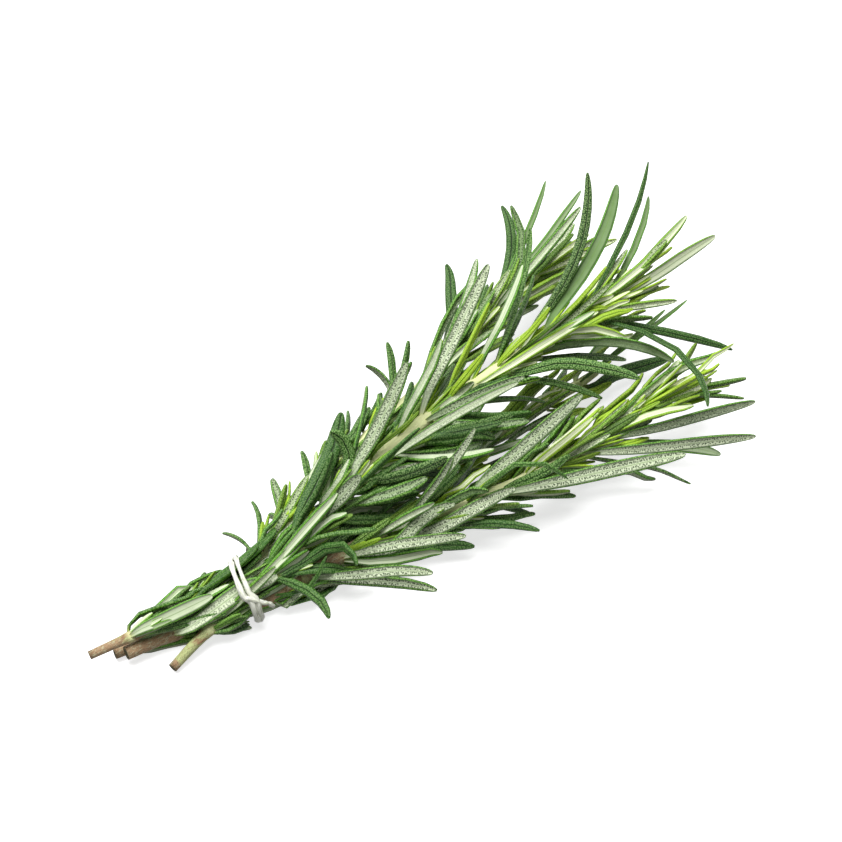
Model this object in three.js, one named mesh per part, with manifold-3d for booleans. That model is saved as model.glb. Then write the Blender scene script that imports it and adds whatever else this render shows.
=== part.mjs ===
// A bunch of four cut rosemary sprigs, held near the cut ends by a strip of raffia and lying down.
// Millimetres. +X runs along the bunch from the cut ends to the growing tips, +Y is the bunch's left,
// +Z is up. While the bunch is built, X = Y = 0 is at the tie and Z = 0 is the surface under it. The
// finished group is moved so that its origin is the middle of the footprint, on that surface.

import * as THREE from 'three';
import { mergeVertices } from 'three/addons/utils/BufferGeometryUtils.js';
import Module from 'manifold-3d';

const manifold = await Module();
manifold.setup();

// ---------------------------------------------------------------- driving dimensions

const GAP = 0.3;                 // clear space between pieces that would touch
const STEM_SIDES = 6;            // flats on a stem and on the collar that a whorl grows from
const STEM_STEP = 5.5;           // length of one straight piece of a stem
const BUD_LENGTH = 4;            // a stem draws in to a point over this length
const COLLAR_WALL = 0.55;
const COLLAR_LENGTH = 1.6;
const LEAF_THICKNESS = 0.9;      // from the flat upper face to the keel below
const LEAF_TEST_SKIN = 0.1;      // a leaf is tested for room this much fatter all round
const NARROWER = [1, 0.85, 0.7]; // shares of its width that a crowded leaf is tried at
const TIE_MIDDLE = [-0.1, -0.2, 5.35];
const TIE_HALF_WIDTH = 5.2;
const TIE_HALF_HEIGHT = 5;
const TIE_SKEW = 2.5;            // the loop's left side is this far ahead of its middle
const TIE_TILT = 2.1;            // its foot is this far ahead of its middle, its top behind
const RAFFIA_THICKNESS = 0.5;
const RAFFIA_STEPS = 20;         // straight pieces in one turn of raffia
const KNOT_RADIUS = 1.0;

// A leaf's rings: how far along the leaf each one is, and its width as a share of the full width.
const LEAF_RINGS = [
  { at: 0, width: 0.42 },
  { at: 0.14, width: 0.7 },
  { at: 0.42, width: 1 },
  { at: 0.7, width: 1 },
  { at: 0.93, width: 0.72 },
];
const LEAF_POINTS = LEAF_RINGS.length + 1;

const RELAX_ROUNDS = 130;        // rounds of pushing crossing leaves apart
const SETTLE_ROUNDS = 40;        // the last of them, in which no leaf is drawn back to its rest shape

const MATERIALS = {
  stem: { color: 0x8f9463, roughness: 0.75, metalness: 0 },
  leaf: { color: 0x5d7f42, roughness: 0.55, metalness: 0 },
  raffia: { color: 0xd9d6b0, roughness: 0.7, metalness: 0 },
};

// ---------------------------------------------------------------- the four sprigs

// One leaf. whorl: which whorl it grows from. side: degrees round the stem, 0 up, 90 left, 180 down
// and -90 right. spread: degrees off the stem. bow: degrees that it turns away from the stem from
// base to tip. twist: degrees that its face is turned about its own length.
const leaf = (whorl, side, spread, length, width, bow = spread / 2, twist = 0) => (
  { whorl, side, spread, length, width, bow, twist, leading: true });

// Stations, in mm from the cut end: a few whorls below the tie, then a run that closes up to the tip.
const whorlStations = (low, first, last, count) => {
  const run = Array.from({ length: count }, (_, i) => {
    const u = i / (count - 1);
    return first + (last - first) * (u + 0.15 * u * (1 - u));
  });
  return [...low, ...run];
};

const SPRIGS = [
  {
    name: 'sprig_a',                     // the top one, in the middle of the bunch
    route: [[-17.3, -1.7, 1.2], [-10.7, -1.1, 2.8], [-5, -1, 4.2], [0, -1, 5.2], [10, -2, 9.8],
      [21, -1.5, 13.8], [36, -1, 17], [55, -2, 19], [70, -3.5, 20], [86, -4, 20]],
    radii: [1.0, 0.65],
    stations: whorlStations([8.5], 22, 101, 15),
    growth: { length: [15, 21, 17], spread: [34, 30, 14], width: [2.4, 2.6, 2.0], turn: 20, inner: -115 },
    leaves: [
      leaf(0, -131, 11, 9.5, 2.2, 0), leaf(0, 178, 12, 8.5, 2, 0),
      leaf(1, -10, 15, 18, 2.4), leaf(1, -160, 43, 16.5, 2.6), leaf(1, -84, 44, 20, 2.4, 130),
      leaf(1, -98, 80, 14, 2.2, 60),
      leaf(1, 160, 14, 11.5, 2.4),
      leaf(2, 85, 28, 25, 3, 20, -30), leaf(2, -160, 34, 16.5, 3, 8, 45),
      leaf(3, -50, 19, 22, 2.4), leaf(3, -170, 51, 17.5, 2.4), leaf(3, -30, 40, 11, 2.8),
      leaf(3, 110, 43, 17.5, 2.4),
      leaf(4, 5, 33, 24, 2.8), leaf(4, 95, 15, 17, 2.4), leaf(4, -155, 40, 18.5, 2.8, 8, 40),
      leaf(4, -170, 48, 22, 2.8), leaf(4, 33, 67, 12, 2.4, 100), leaf(4, 70, 32, 19, 2.2),
      leaf(5, -60, 31, 28.5, 2.4, 25), leaf(5, -145, 40, 17, 2.6), leaf(5, -165, 49, 17.5, 2.6, 8, 30),
      leaf(5, 105, 42, 17.5, 2.2),
      leaf(6, 10, 38, 19, 2.2), leaf(6, 100, 35, 14.5, 2.4), leaf(6, -140, 36, 19, 2.2),
      leaf(6, -170, 41, 14, 2),
      leaf(7, 32, 32, 29.5, 3.4, 0, 40), leaf(7, -170, 40, 20.5, 2.4), leaf(7, -150, 36, 19.5, 2.2),
      leaf(8, -150, 31, 20.5, 2, 30), leaf(8, -175, 34, 21.5, 2), leaf(8, 25, 37, 18.7, 1.8, 0),
      leaf(8, -10, 45, 11, 1.8, 0),
      leaf(9, 40, 33, 23.5, 2.2), leaf(9, 85, 31, 14, 2), leaf(9, -50, 13, 26, 2.2),
      leaf(10, 60, 39, 28, 2.4), leaf(10, 85, 32, 23, 2.4), leaf(10, 30, 15, 13, 1.8, 0),
      leaf(10, -10, 38, 14.5, 1.8), leaf(10, -95, 44, 25.5, 3.2, 50, 125), leaf(10, -130, 44, 20.5, 2),
      leaf(11, 50, 36, 37.5, 3, 50, -40), leaf(11, -109, 35, 29.2, 2.6, 75, -10), leaf(11, -160, 31, 24, 2.4),
      leaf(11, -95, 20, 14, 2),
      leaf(12, 60, 30, 35, 3.2, 28, 40), leaf(12, 0, 32, 17, 2),
      leaf(13, 60, 10, 17, 1.8, 0), leaf(13, -80, 23, 13, 1.8, 0),
      leaf(14, 50, 31, 33.5, 2.4, 25), leaf(14, 0, 19, 26.5, 2.4, 30), leaf(14, -120, 43, 28.5, 2.6, 12, 60),
      leaf(14, -60, 40, 8.5, 1.6, 0), leaf(14, -86, 95, 34.1, 2.2, 80, 15),
      leaf(15, 60, 29, 25, 2.2, 30), leaf(15, 10, 8, 18, 2.4, 0), leaf(15, -50, 6, 26.5, 2.8, 0),
    ],
  },
  {
    name: 'sprig_b',                     // the one on the surface, at the right of the bunch
    route: [[-21.4, 4.9, 2.6], [-14.8, 3.2, 2.7], [-7, 0.9, 2.3], [0, -1.5, 2.3], [7, -3.5, 3.8],
      [16, -5.5, 5.5], [27, -9, 7], [40, -15, 9], [50, -18, 10], [62, -19, 10], [74, -20, 11], [84, -22, 12]],
    radii: [1.1, 0.65],
    stations: whorlStations([8], 26, 103, 15),
    growth: { length: [14, 20, 15], spread: [30, 30, 14], width: [2.4, 2.6, 2.0], turn: 65, inner: 70 },
    leaves: [
      leaf(0, -6, 19, 20.5, 3.2, -12), leaf(0, -125, 8, 9, 2, 0),
      leaf(1, -155, 20, 11.5, 2.2),
      leaf(2, -75, 46, 23.2, 2.6), leaf(2, -95, 44, 22.4, 2.4), leaf(2, -140, 22, 13, 2.6),
      leaf(3, -60, 13, 22.5, 3), leaf(3, -70, 35, 22.8, 2.6), leaf(3, -90, 33, 17.8, 2.4),
      leaf(3, -140, 39, 12.5, 2),
      leaf(4, -30, 38, 14, 2), leaf(4, -60, 14, 27, 3.2),
      leaf(5, -10, 56, 18.5, 2.2), leaf(5, 5, 43, 22, 2.4), leaf(5, 15, 30, 14.5, 2.2),
      leaf(6, 90, 43, 18, 2.6), leaf(6, -170, 22, 18.5, 2.4),
      leaf(7, 10, 31, 27.3, 3.2, 4, 45), leaf(7, -15, 45, 11, 1.8, 0), leaf(7, -60, 16, 18, 2.2),
      leaf(7, 180, 37, 14.5, 2),
      leaf(8, -70, 22, 32.5, 3.4, 4), leaf(8, -170, 29, 16, 2.2),
      leaf(9, 30, 19, 18, 1.8, 0), leaf(9, -10, 36, 16, 1.8, 0), leaf(9, 75, 30, 17.5, 2.4),
      leaf(11, 0, 21, 13.5, 1.8, 0), leaf(11, -85, 36, 31.6, 2.8, 0), leaf(11, -120, 44, 22.6, 2.6),
      leaf(11, -110, 20, 15, 1.8), leaf(11, -60, 42, 8.5, 1.6, 0),
      leaf(12, -85, 26, 29, 2.8, 0), leaf(12, -125, 37, 24.4, 2.8), leaf(12, -65, 30, 18, 2.2),
      leaf(12, -40, 20, 10, 1.8, 0),
      leaf(13, -40, 8, 24, 2.4, 0), leaf(13, -75, 25, 15.5, 2.2),
      leaf(14, -50, 15, 17, 2.2, 0), leaf(14, -80, 14, 15, 2, 0),
      leaf(15, -150, 19, 15, 2.4),
    ],
  },
  {
    name: 'sprig_c',                     // the one at the back, at the left of the bunch
    route: [[-26.5, 7.7, 3.9], [-20.3, 5.4, 5.1], [-10, 3.3, 5.0], [0, 2.0, 5.0], [17, 6, 6.8], [39, 10, 8],
      [55, 12, 9], [71, 15, 10], [83, 16.5, 11], [94, 17, 12]],
    radii: [0.95, 0.65],
    stations: whorlStations([7, 16.5], 33, 113, 12),
    growth: { length: [10, 16, 16], spread: [34, 30, 16], width: [2.2, 2.6, 2.0], turn: 0, inner: -110 },
    leaves: [
      leaf(0, -28, 12, 15, 2.8, 0), leaf(0, 60, 8, 13, 2.2, 0), leaf(0, 126, 8, 15.6, 2.2, -5),
      leaf(1, 104, 40, 11.5, 2, 0), leaf(1, 80, 19, 12, 2.2, -50), leaf(1, 45, 12, 10.7, 2, -10),
      leaf(1, -15, 12, 10.5, 2, 0),
      leaf(1, 130, 110, 6, 1.4, 0),
      leaf(2, 90, 40, 13, 2.2, 50), leaf(2, 100, 75, 10.4, 2.6, 50), leaf(2, 125, 66, 7, 2),
      leaf(3, 80, 48, 9.5, 2, 20), leaf(3, 60, 31, 6, 1.8), leaf(3, 108, 46, 13, 2, 5),
      leaf(3, 130, 68, 9, 2.2),
      leaf(4, 90, 49, 10, 2, 20), leaf(4, 70, 12, 12, 2.4),
      leaf(5, 30, 19, 12, 2.2),
      leaf(6, 10, 24, 15.5, 2.2),
      leaf(7, 70, 47, 14, 2.2), leaf(7, 60, 78, 10.5, 2.6, 80), leaf(7, 40, 38, 13, 2.2),
      leaf(8, 80, 31, 13.5, 2.6), leaf(8, 84, 20, 26, 2.4, -10),
      leaf(9, 86, 35, 24.8, 2.8, 30), leaf(9, 40, 27, 21, 2.2),
      leaf(11, 69, 32, 26.3, 2.6, 65), leaf(11, 40, 34, 23.8, 2.4, 85), leaf(11, 43, 21, 30.4, 2.2, 15),
      leaf(11, -20, 30, 26, 2.4), leaf(11, -55, 40, 18, 2.2), leaf(11, -80, 25, 14, 2),
      leaf(12, 20, 15, 25.5, 2.2, 0),
      leaf(13, -65, 34, 17, 2.2), leaf(13, -40, 35, 13, 2, 0),
    ],
  },
  {
    name: 'sprig_d',                     // the short one underneath, between the other three
    route: [[-22.1, 7.1, 1.0], [-12, 4.3, 1.1], [0, 1.4, 1.75], [16, -1, 2.4], [40, -1.5, 2.8],
      [61, -2.5, 3.2], [80, -4, 3.6]],
    radii: [0.9, 0.6],
    stations: whorlStations([], 32, 98, 9),
    growth: { length: [14, 17, 16], spread: [26, 24, 16], width: [2.4, 2.6, 2.2], turn: 40, inner: 30 },
    leaves: [
      leaf(5, 115, 22, 10, 2.4), leaf(5, -95, 9, 17, 2.6),
      leaf(7, 110, 31, 12.5, 2.6), leaf(7, -90, 15, 13.5, 2.4),
      leaf(8, 70, 23, 18, 2.8), leaf(8, -90, 18, 18.5, 2.8), leaf(8, 0, 10, 27.5, 2), leaf(8, -20, 35, 21, 2),
    ],
  },
];

// ---------------------------------------------------------------- small tools

const radians = THREE.MathUtils.degToRad;
const vector = (x, y, z) => new THREE.Vector3(x, y, z);

// A repeatable spread of values between -1 and 1.
const scatter = (a, b) => {
  const value = Math.sin(a * 12.9898 + b * 78.233) * 43758.5453;
  return 2 * (value - Math.floor(value)) - 1;
};

// A value that passes through three others at the bottom, middle and top of a sprig.
const along = ([low, mid, high], u) => (
  u < 0.5 ? THREE.MathUtils.lerp(low, mid, 2 * u) : THREE.MathUtils.lerp(mid, high, 2 * u - 1));

// A closed shape through equal rings of points, with a flat first end and a flat or pointed last end.
function loft(rings, apex) {
  const sides = rings[0].length;
  const points = rings.flat();
  const faces = [];
  for (let ring = 0; ring < rings.length - 1; ring += 1) {
    for (let side = 0; side < sides; side += 1) {
      const a = ring * sides + side;
      const b = ring * sides + ((side + 1) % sides);
      faces.push(a, b, b + sides, a, b + sides, a + sides);
    }
  }
  for (let side = 1; side < sides - 1; side += 1) faces.push(0, side + 1, side);
  const last = (rings.length - 1) * sides;
  if (apex) {
    points.push(apex);
    for (let side = 0; side < sides; side += 1) {
      faces.push(last + side, last + ((side + 1) % sides), points.length - 1);
    }
  } else {
    for (let side = 1; side < sides - 1; side += 1) faces.push(last, last + side, last + side + 1);
  }
  return facingOut(points, faces);
}

// A closed band through rings of points, whose last ring joins the first.
function band(rings) {
  const sides = rings[0].length;
  const faces = [];
  rings.forEach((_, ring) => {
    const next = (ring + 1) % rings.length;
    for (let side = 0; side < sides; side += 1) {
      const across = (side + 1) % sides;
      faces.push(ring * sides + side, ring * sides + across, next * sides + across);
      faces.push(ring * sides + side, next * sides + across, next * sides + side);
    }
  });
  return facingOut(rings.flat(), faces);
}

// An indexed geometry whose faces all point out of the solid.
function facingOut(points, faces) {
  let volume = 0;
  for (let i = 0; i < faces.length; i += 3) {
    const [a, b, c] = [points[faces[i]], points[faces[i + 1]], points[faces[i + 2]]];
    volume += a.dot(b.clone().cross(c));
  }
  const geometry = new THREE.BufferGeometry().setFromPoints(points);
  geometry.setIndex(volume > 0 ? faces : faces.toReversed());
  return geometry;
}

function toSolid(geometry) {
  const bare = geometry.clone();
  bare.deleteAttribute('normal');
  bare.deleteAttribute('uv');
  const merged = mergeVertices(bare, 1e-5);
  return new manifold.Manifold(new manifold.Mesh({
    numProp: 3,
    vertProperties: new Float32Array(merged.attributes.position.array),
    triVerts: new Uint32Array(merged.index.array),
  }));
}

function toGeometry(solid) {
  const mesh = solid.getMesh();
  const geometry = new THREE.BufferGeometry();
  geometry.setAttribute('position', new THREE.BufferAttribute(mesh.vertProperties, 3));
  geometry.setIndex(new THREE.BufferAttribute(mesh.triVerts, 1));
  const flat = geometry.toNonIndexed();
  flat.computeVertexNormals();
  return flat;
}

function named(name, geometry, material) {
  const mesh = new THREE.Mesh(geometry, new THREE.MeshStandardMaterial(MATERIALS[material]));
  mesh.name = name;
  return mesh;
}

// ---------------------------------------------------------------- stems

// The stem's middle line, with its own directions at any station from the cut end.
class Stem {
  constructor(sprig) {
    this.curve = new THREE.CatmullRomCurve3(sprig.route.map((p) => vector(...p)), false, 'centripetal');
    this.length = this.curve.getLength();
    [this.baseRadius, this.tipRadius] = sprig.radii;
  }

  radius(station) {
    return THREE.MathUtils.lerp(this.baseRadius, this.tipRadius, station / this.length);
  }

  at(station) {
    const u = THREE.MathUtils.clamp(station / this.length, 0, 1);
    const forward = this.curve.getTangentAt(u);
    const up = vector(0, 0, 1).addScaledVector(forward, -forward.z).normalize();
    const left = up.clone().cross(forward);
    return { point: this.curve.getPointAt(u), forward, up, left };
  }

  // A regular ring of points round the stem.
  ring(station, radius) {
    const { point, up, left } = this.at(station);
    return Array.from({ length: STEM_SIDES }, (_, i) => {
      const angle = (2 * Math.PI * i) / STEM_SIDES;
      return point.clone().addScaledVector(up, radius * Math.cos(angle))
        .addScaledVector(left, radius * Math.sin(angle));
    });
  }

  // The stem itself, or a fatter one that keeps other pieces clear of it.
  geometry(skin = 0) {
    const straight = this.length - BUD_LENGTH;
    const steps = Math.round(straight / STEM_STEP);
    const rings = Array.from({ length: steps + 1 }, (_, i) => (
      this.ring((straight * i) / steps, this.radius((straight * i) / steps) + skin)));
    return loft(rings, this.curve.getPointAt(1));
  }

  // The sleeve that a whorl's leaves grow from, round the stem and clear of it.
  collar(station) {
    const inner = this.radius(station) + GAP / Math.cos(Math.PI / STEM_SIDES);
    const outer = inner + COLLAR_WALL;
    const low = station - COLLAR_LENGTH / 2;
    const high = station + COLLAR_LENGTH / 2;
    const corners = [[low, inner], [low, outer], [high, outer], [high, inner]];
    const sleeve = corners.map(([at, radius]) => this.ring(at, radius));
    return band(sleeve[0].map((_, side) => sleeve.map((ring) => ring[side])));
  }
}

// ---------------------------------------------------------------- leaves

// A leaf as a chain of points along its middle, with the direction of its width at each one.
class Leaf {
  constructor(sprig, stem, whorl, shape) {
    Object.assign(this, shape, { sprig, whorl });
    const { point, forward, up, left } = stem.at(sprig.stations[whorl]);
    const side = radians(this.side);
    const away = up.clone().multiplyScalar(Math.cos(side)).addScaledVector(left, Math.sin(side));
    const reach = stem.radius(sprig.stations[whorl]) + GAP + COLLAR_WALL / 2;
    const base = point.clone().addScaledVector(away, reach);
    this.points = [base];
    const fine = 24;
    const walker = base.clone();
    for (let i = 1, next = 1; i <= fine; i += 1) {
      const spread = radians(this.spread + this.bow * ((i - 0.5) / fine - 0.5));
      walker.addScaledVector(forward, (Math.cos(spread) * this.length) / fine);
      walker.addScaledVector(away, (Math.sin(spread) * this.length - reach) / fine);
      const wanted = next < LEAF_RINGS.length ? LEAF_RINGS[next].at : 1;
      if (i / fine >= wanted - 0.5 / fine) {
        this.points.push(walker.clone());
        next += 1;
      }
    }
    this.rest = this.points.map((p) => p.clone());
    this.spans = this.points.slice(1).map((p, i) => p.distanceTo(this.points[i]));
    this.across = forward.clone().cross(away).normalize();
    const turn = new THREE.Quaternion().setFromAxisAngle(
      this.points[LEAF_POINTS - 1].clone().sub(base).normalize(), radians(this.twist));
    this.across.applyQuaternion(turn);
    this.orient();
  }

  // The direction of the width and of the upper face at every point of the chain.
  orient() {
    this.wide = [];
    this.face = [];
    this.points.forEach((p, i) => {
      const before = this.points[Math.max(i - 1, 0)];
      const after = this.points[Math.min(i + 1, LEAF_POINTS - 1)];
      const run = after.clone().sub(before).normalize();
      const wide = this.across.clone().addScaledVector(run, -this.across.dot(run)).normalize();
      this.wide.push(wide);
      this.face.push(wide.clone().cross(run).negate());
    });
  }

  widthAt(i) {
    return this.width * (i < LEAF_RINGS.length ? LEAF_RINGS[i].width : 0.3);
  }

  thicknessAt(i) {
    return LEAF_THICKNESS * (i === 0 ? 0.6 : 1) * (i < LEAF_RINGS.length - 1 ? 1 : 0.7);
  }

  // How far the leaf reaches from its middle line at point i, in a direction.
  reach(i, direction) {
    const across = (this.widthAt(i) / 2) * direction.dot(this.wide[i]);
    const through = (this.thicknessAt(i) / 2) * direction.dot(this.face[i]);
    return Math.hypot(across, through);
  }

  // Three-cornered rings, flat above and keeled below, that draw in to the blunt tip.
  geometry(skin = 0) {
    const rings = LEAF_RINGS.map((_, i) => {
      const half = this.widthAt(i) / 2 + skin;
      const lift = this.thicknessAt(i) / 2 + skin;
      const top = this.points[i].clone().addScaledVector(this.face[i], lift);
      return [
        top.clone().addScaledVector(this.wide[i], -half),
        top.clone().addScaledVector(this.wide[i], half),
        this.points[i].clone().addScaledVector(this.face[i], -lift),
      ];
    });
    return loft(rings, this.points[LEAF_POINTS - 1].clone());
  }

  box() {
    return new THREE.Box3().setFromPoints(this.points).expandByScalar(this.width / 2 + 0.3);
  }
}

// The leaves that a whorl grows besides its leading ones: opposite pairs, each turned a quarter from
// the pair below, shorter ones between them, and two more on the side towards the middle of the bunch.
function fillingLeaves(sprig, whorl) {
  const { growth, stations } = sprig;
  const station = stations[whorl];
  const low = stations.filter((s) => s < 20).length;
  if (whorl < low) return [];
  const u = (whorl - low) / (stations.length - 1 - low);
  const turned = 90 * (whorl % 2);
  const slots = [0, 90, 180, 270].map((round) => (
    { side: growth.turn + turned + round, main: round % 180 === 0 }));
  slots.push({ side: growth.inner + 25, main: turned === 0 }, { side: growth.inner - 25, main: turned > 0 });
  const taken = sprig.leaves.filter((l) => l.whorl === whorl).map((l) => ({ side: l.side, room: 38 }));
  const found = [];
  slots.forEach(({ side: middle, main }, slot) => {
    const side = middle + 14 * scatter(station, slot);
    const crowded = taken.some((l) => Math.cos(radians(l.side - side)) > Math.cos(radians(l.room)));
    if (!crowded) {
      taken.push({ side, room: 26 });
      found.push({
        whorl,
        side,
        spread: along(growth.spread, u) * (main ? 1 : 0.7) + 5 * scatter(slot, station),
        length: along(growth.length, u) * (main ? 1 : 0.66) * (1 + 0.12 * scatter(station, slot + 7)),
        width: along(growth.width, u) * (main ? 1 : 0.8),
        bow: 14 + 10 * scatter(slot + 3, station),
        twist: 15 * scatter(slot + 5, station),
        leading: false,
      });
    }
  });
  return found;
}

// ---------------------------------------------------------------- the tie

// A point on the tie's loop, at an angle from its left side round over the top.
function tiePoint(angle, x = 0, out = 0) {
  return vector(...TIE_MIDDLE).add(vector(
    x + TIE_SKEW * Math.cos(angle) - TIE_TILT * Math.sin(angle),
    (TIE_HALF_WIDTH + out) * Math.cos(angle),
    (TIE_HALF_HEIGHT + out) * Math.sin(angle),
  ));
}

// One turn of raffia, a flat strip round the bunch. It passes over the bunch at x + climb.
function raffiaTurn(x, climb, width, out) {
  const rings = Array.from({ length: RAFFIA_STEPS }, (_, i) => {
    const angle = (2 * Math.PI * i) / RAFFIA_STEPS;
    const middle = x + climb * Math.sin(angle);
    return [[-0.5, -0.5], [0.5, -0.5], [0.5, 0.5], [-0.5, 0.5]].map(([a, b]) => (
      tiePoint(angle, middle + a * width, out + b * RAFFIA_THICKNESS)));
  });
  return band(rings);
}

// The twist that holds the two turns, low on the right of the loop.
function raffiaKnot() {
  const knot = new THREE.IcosahedronGeometry(KNOT_RADIUS, 1);
  knot.scale(0.85, 0.7, 1.4);
  knot.rotateX(radians(-38));
  const middle = tiePoint(radians(212), 0.1, 0.15);
  knot.translate(middle.x, middle.y, middle.z);
  return knot;
}

// The cut end of the strip, which stands out of the loop's right side towards the growing tips.
function raffiaEnd() {
  const [width, thickness] = [0.8, 0.4];
  const root = tiePoint(radians(150), 0.6, 0.2);
  const steps = [vector(0, 0, 0), vector(1.1, -0.45, -1), vector(2.4, -0.7, -2.2)];
  const route = steps.map((step) => step.add(root));
  const rings = route.map((p) => [[-0.5, -0.5], [0.5, -0.5], [0.5, 0.5], [-0.5, 0.5]].map(([a, b]) => (
    vector(p.x + a * width, p.y + b * thickness, p.z + 0.5 * a * width))));
  return loft(rings);
}

function tie() {
  return [raffiaTurn(-0.25, -0.15, 1.3, 0), raffiaTurn(0.2, 0.65, 0.8, 0.1), raffiaKnot(), raffiaEnd()]
    .map(toSolid).reduce((a, b) => a.add(b));
}

// ---------------------------------------------------------------- pushing leaves apart

// The nearest points of two straight spans, as shares s and t along them.
function nearest(p1, q1, p2, q2) {
  const d1 = q1.clone().sub(p1);
  const d2 = q2.clone().sub(p2);
  const r = p1.clone().sub(p2);
  const a = d1.dot(d1);
  const e = d2.dot(d2);
  const b = d1.dot(d2);
  const c = d1.dot(r);
  const f = d2.dot(r);
  const spread = a * e - b * b;
  let s = spread > 1e-9 ? THREE.MathUtils.clamp((b * f - c * e) / spread, 0, 1) : 0.5;
  const t = THREE.MathUtils.clamp((b * s + f) / e, 0, 1);
  s = THREE.MathUtils.clamp((b * t - c) / a, 0, 1);
  const gap = p1.clone().addScaledVector(d1, s).sub(p2.clone().addScaledVector(d2, t));
  return { s, t, gap };
}

// How freely point i of a leaf gives way: its base not at all, and a leading leaf less than others.
const give = (one, i) => (i === 0 ? 0 : (i === 1 ? 0.5 : 1) * (one.leading ? 0.4 : 1));

function pushSpan(one, i, share, direction, amount) {
  const weights = [give(one, i) * (1 - share), give(one, i + 1) * share];
  const total = weights[0] * (1 - share) + weights[1] * share;
  if (total < 1e-6) return;
  one.points[i].addScaledVector(direction, (amount * weights[0]) / total);
  one.points[i + 1].addScaledVector(direction, (amount * weights[1]) / total);
}

function partLeaves(one, other, kin) {
  const first = kin ? 2 : 0;
  for (let i = first; i < LEAF_POINTS - 1; i += 1) {
    for (let j = first; j < LEAF_POINTS - 1; j += 1) {
      const near = nearest(one.points[i], one.points[i + 1], other.points[j], other.points[j + 1]);
      const distance = near.gap.length();
      if (distance < one.width + other.width) {
        const ni = near.s < 0.5 ? i : i + 1;
        const nj = near.t < 0.5 ? j : j + 1;
        const direction = distance > 0.05
          ? near.gap.divideScalar(distance)
          : one.face[ni].clone().add(other.face[nj]).normalize();
        const wanted = one.reach(ni, direction) + other.reach(nj, direction) + GAP;
        const short = wanted - distance;
        if (short > 0) {
          const ours = Math.max(give(one, ni), 0.01);
          const theirs = Math.max(give(other, nj), 0.01);
          pushSpan(one, i, near.s, direction, (short * ours) / (ours + theirs));
          pushSpan(other, j, near.t, direction, (-short * theirs) / (ours + theirs));
        }
      }
    }
  }
}

// Keeps a leaf clear of a round bar between two points.
function clearBar(one, from, bar) {
  for (let i = from; i < LEAF_POINTS - 1; i += 1) {
    const near = nearest(one.points[i], one.points[i + 1], bar.from, bar.to);
    const distance = near.gap.length();
    if (distance < bar.radius + one.width) {
      const ni = near.s < 0.5 ? i : i + 1;
      const direction = near.gap.divideScalar(Math.max(distance, 1e-6));
      const short = bar.radius + one.reach(ni, direction) + GAP - distance;
      if (short > 0) pushSpan(one, i, near.s, direction, short);
    }
  }
}

function stayAboveSurface(one) {
  const up = vector(0, 0, 1);
  for (let i = 1; i < LEAF_POINTS; i += 1) {
    const lowest = one.reach(i, up) + 0.15;
    if (one.points[i].z < lowest) one.points[i].z = lowest;
  }
}

// Gives every span its length back, from the base out.
function keepLengths(one) {
  for (let i = 1; i < LEAF_POINTS; i += 1) {
    const span = one.points[i].clone().sub(one.points[i - 1]);
    one.points[i].copy(one.points[i - 1]).addScaledVector(span.normalize(), one.spans[i - 1]);
  }
}

function stemBars(stems) {
  return stems.flatMap((stem, owner) => {
    const steps = Math.round(stem.length / STEM_STEP);
    return Array.from({ length: steps }, (_, i) => {
      const station = (stem.length * i) / steps;
      const next = (stem.length * (i + 1)) / steps;
      const radius = stem.radius(station) + GAP + COLLAR_WALL;
      return { owner, radius, from: stem.at(station).point, to: stem.at(next).point };
    });
  });
}

function tieBars() {
  const steps = 16;
  return Array.from({ length: steps }, (_, i) => ({
    owner: -1,
    radius: 1.4,
    from: tiePoint((2 * Math.PI * i) / steps, 0, 0.6),
    to: tiePoint((2 * Math.PI * (i + 1)) / steps, 0, 0.6),
  }));
}

function relax(leaves, stems) {
  const bars = [...stemBars(stems), ...tieBars()];
  bars.forEach((bar) => {
    bar.box = new THREE.Box3().setFromPoints([bar.from, bar.to]).expandByScalar(bar.radius + 1);
  });
  for (let round = 0; round < RELAX_ROUNDS; round += 1) {
    const settling = round >= RELAX_ROUNDS - SETTLE_ROUNDS;
    const boxes = leaves.map((one) => one.box());
    leaves.forEach((one) => {
      if (!settling) {
        const pull = one.leading ? 0.08 : 0.03;
        one.points.forEach((p, i) => { if (i > 0) p.lerp(one.rest[i], pull); });
      }
      one.orient();
    });
    leaves.forEach((one, i) => {
      for (let j = i + 1; j < leaves.length; j += 1) {
        if (boxes[i].intersectsBox(boxes[j])) {
          const kin = one.sprig === leaves[j].sprig && one.whorl === leaves[j].whorl;
          partLeaves(one, leaves[j], kin);
        }
      }
      bars.filter((bar) => bar.box.intersectsBox(boxes[i])).forEach((bar) => {
        clearBar(one, bar.owner === one.owner ? 1 : 0, bar);
      });
      stayAboveSurface(one);
      keepLengths(one);
    });
  }
  leaves.forEach((one) => {
    one.orient();
    stayAboveSurface(one);
    one.orient();
  });
}

// ---------------------------------------------------------------- the whole bunch

const sameWhorl = (a, b) => a.sprig === b.sprig && a.whorl === b.whorl;

// A solid with the box that it fits in, and the whorl that it belongs to, if any.
function placed(geometry, sprig, whorl) {
  geometry.computeBoundingBox();
  return { sprig, whorl, box: geometry.boundingBox, solid: toSolid(geometry) };
}

// Leaves that find room, leading and long ones first. One that would cut another grows narrower,
// or not at all.
function leavesWithRoom(leaves, fixed) {
  const kept = [];
  const ordered = leaves.toSorted((a, b) => (b.leading - a.leading) || (b.length - a.length));
  ordered.forEach((one) => {
    const box = one.box();
    const others = [...fixed, ...kept].filter((k) => !sameWhorl(k, one) && k.box.intersectsBox(box));
    const fullWidth = one.width;
    const fits = NARROWER.some((share) => {
      one.width = fullWidth * share;
      const fat = toSolid(one.geometry(LEAF_TEST_SKIN));
      return others.every((k) => fat.intersect(k.solid).isEmpty());
    });
    if (fits) kept.push({ sprig: one.sprig, whorl: one.whorl, box, solid: toSolid(one.geometry()) });
  });
  return kept;
}

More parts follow.
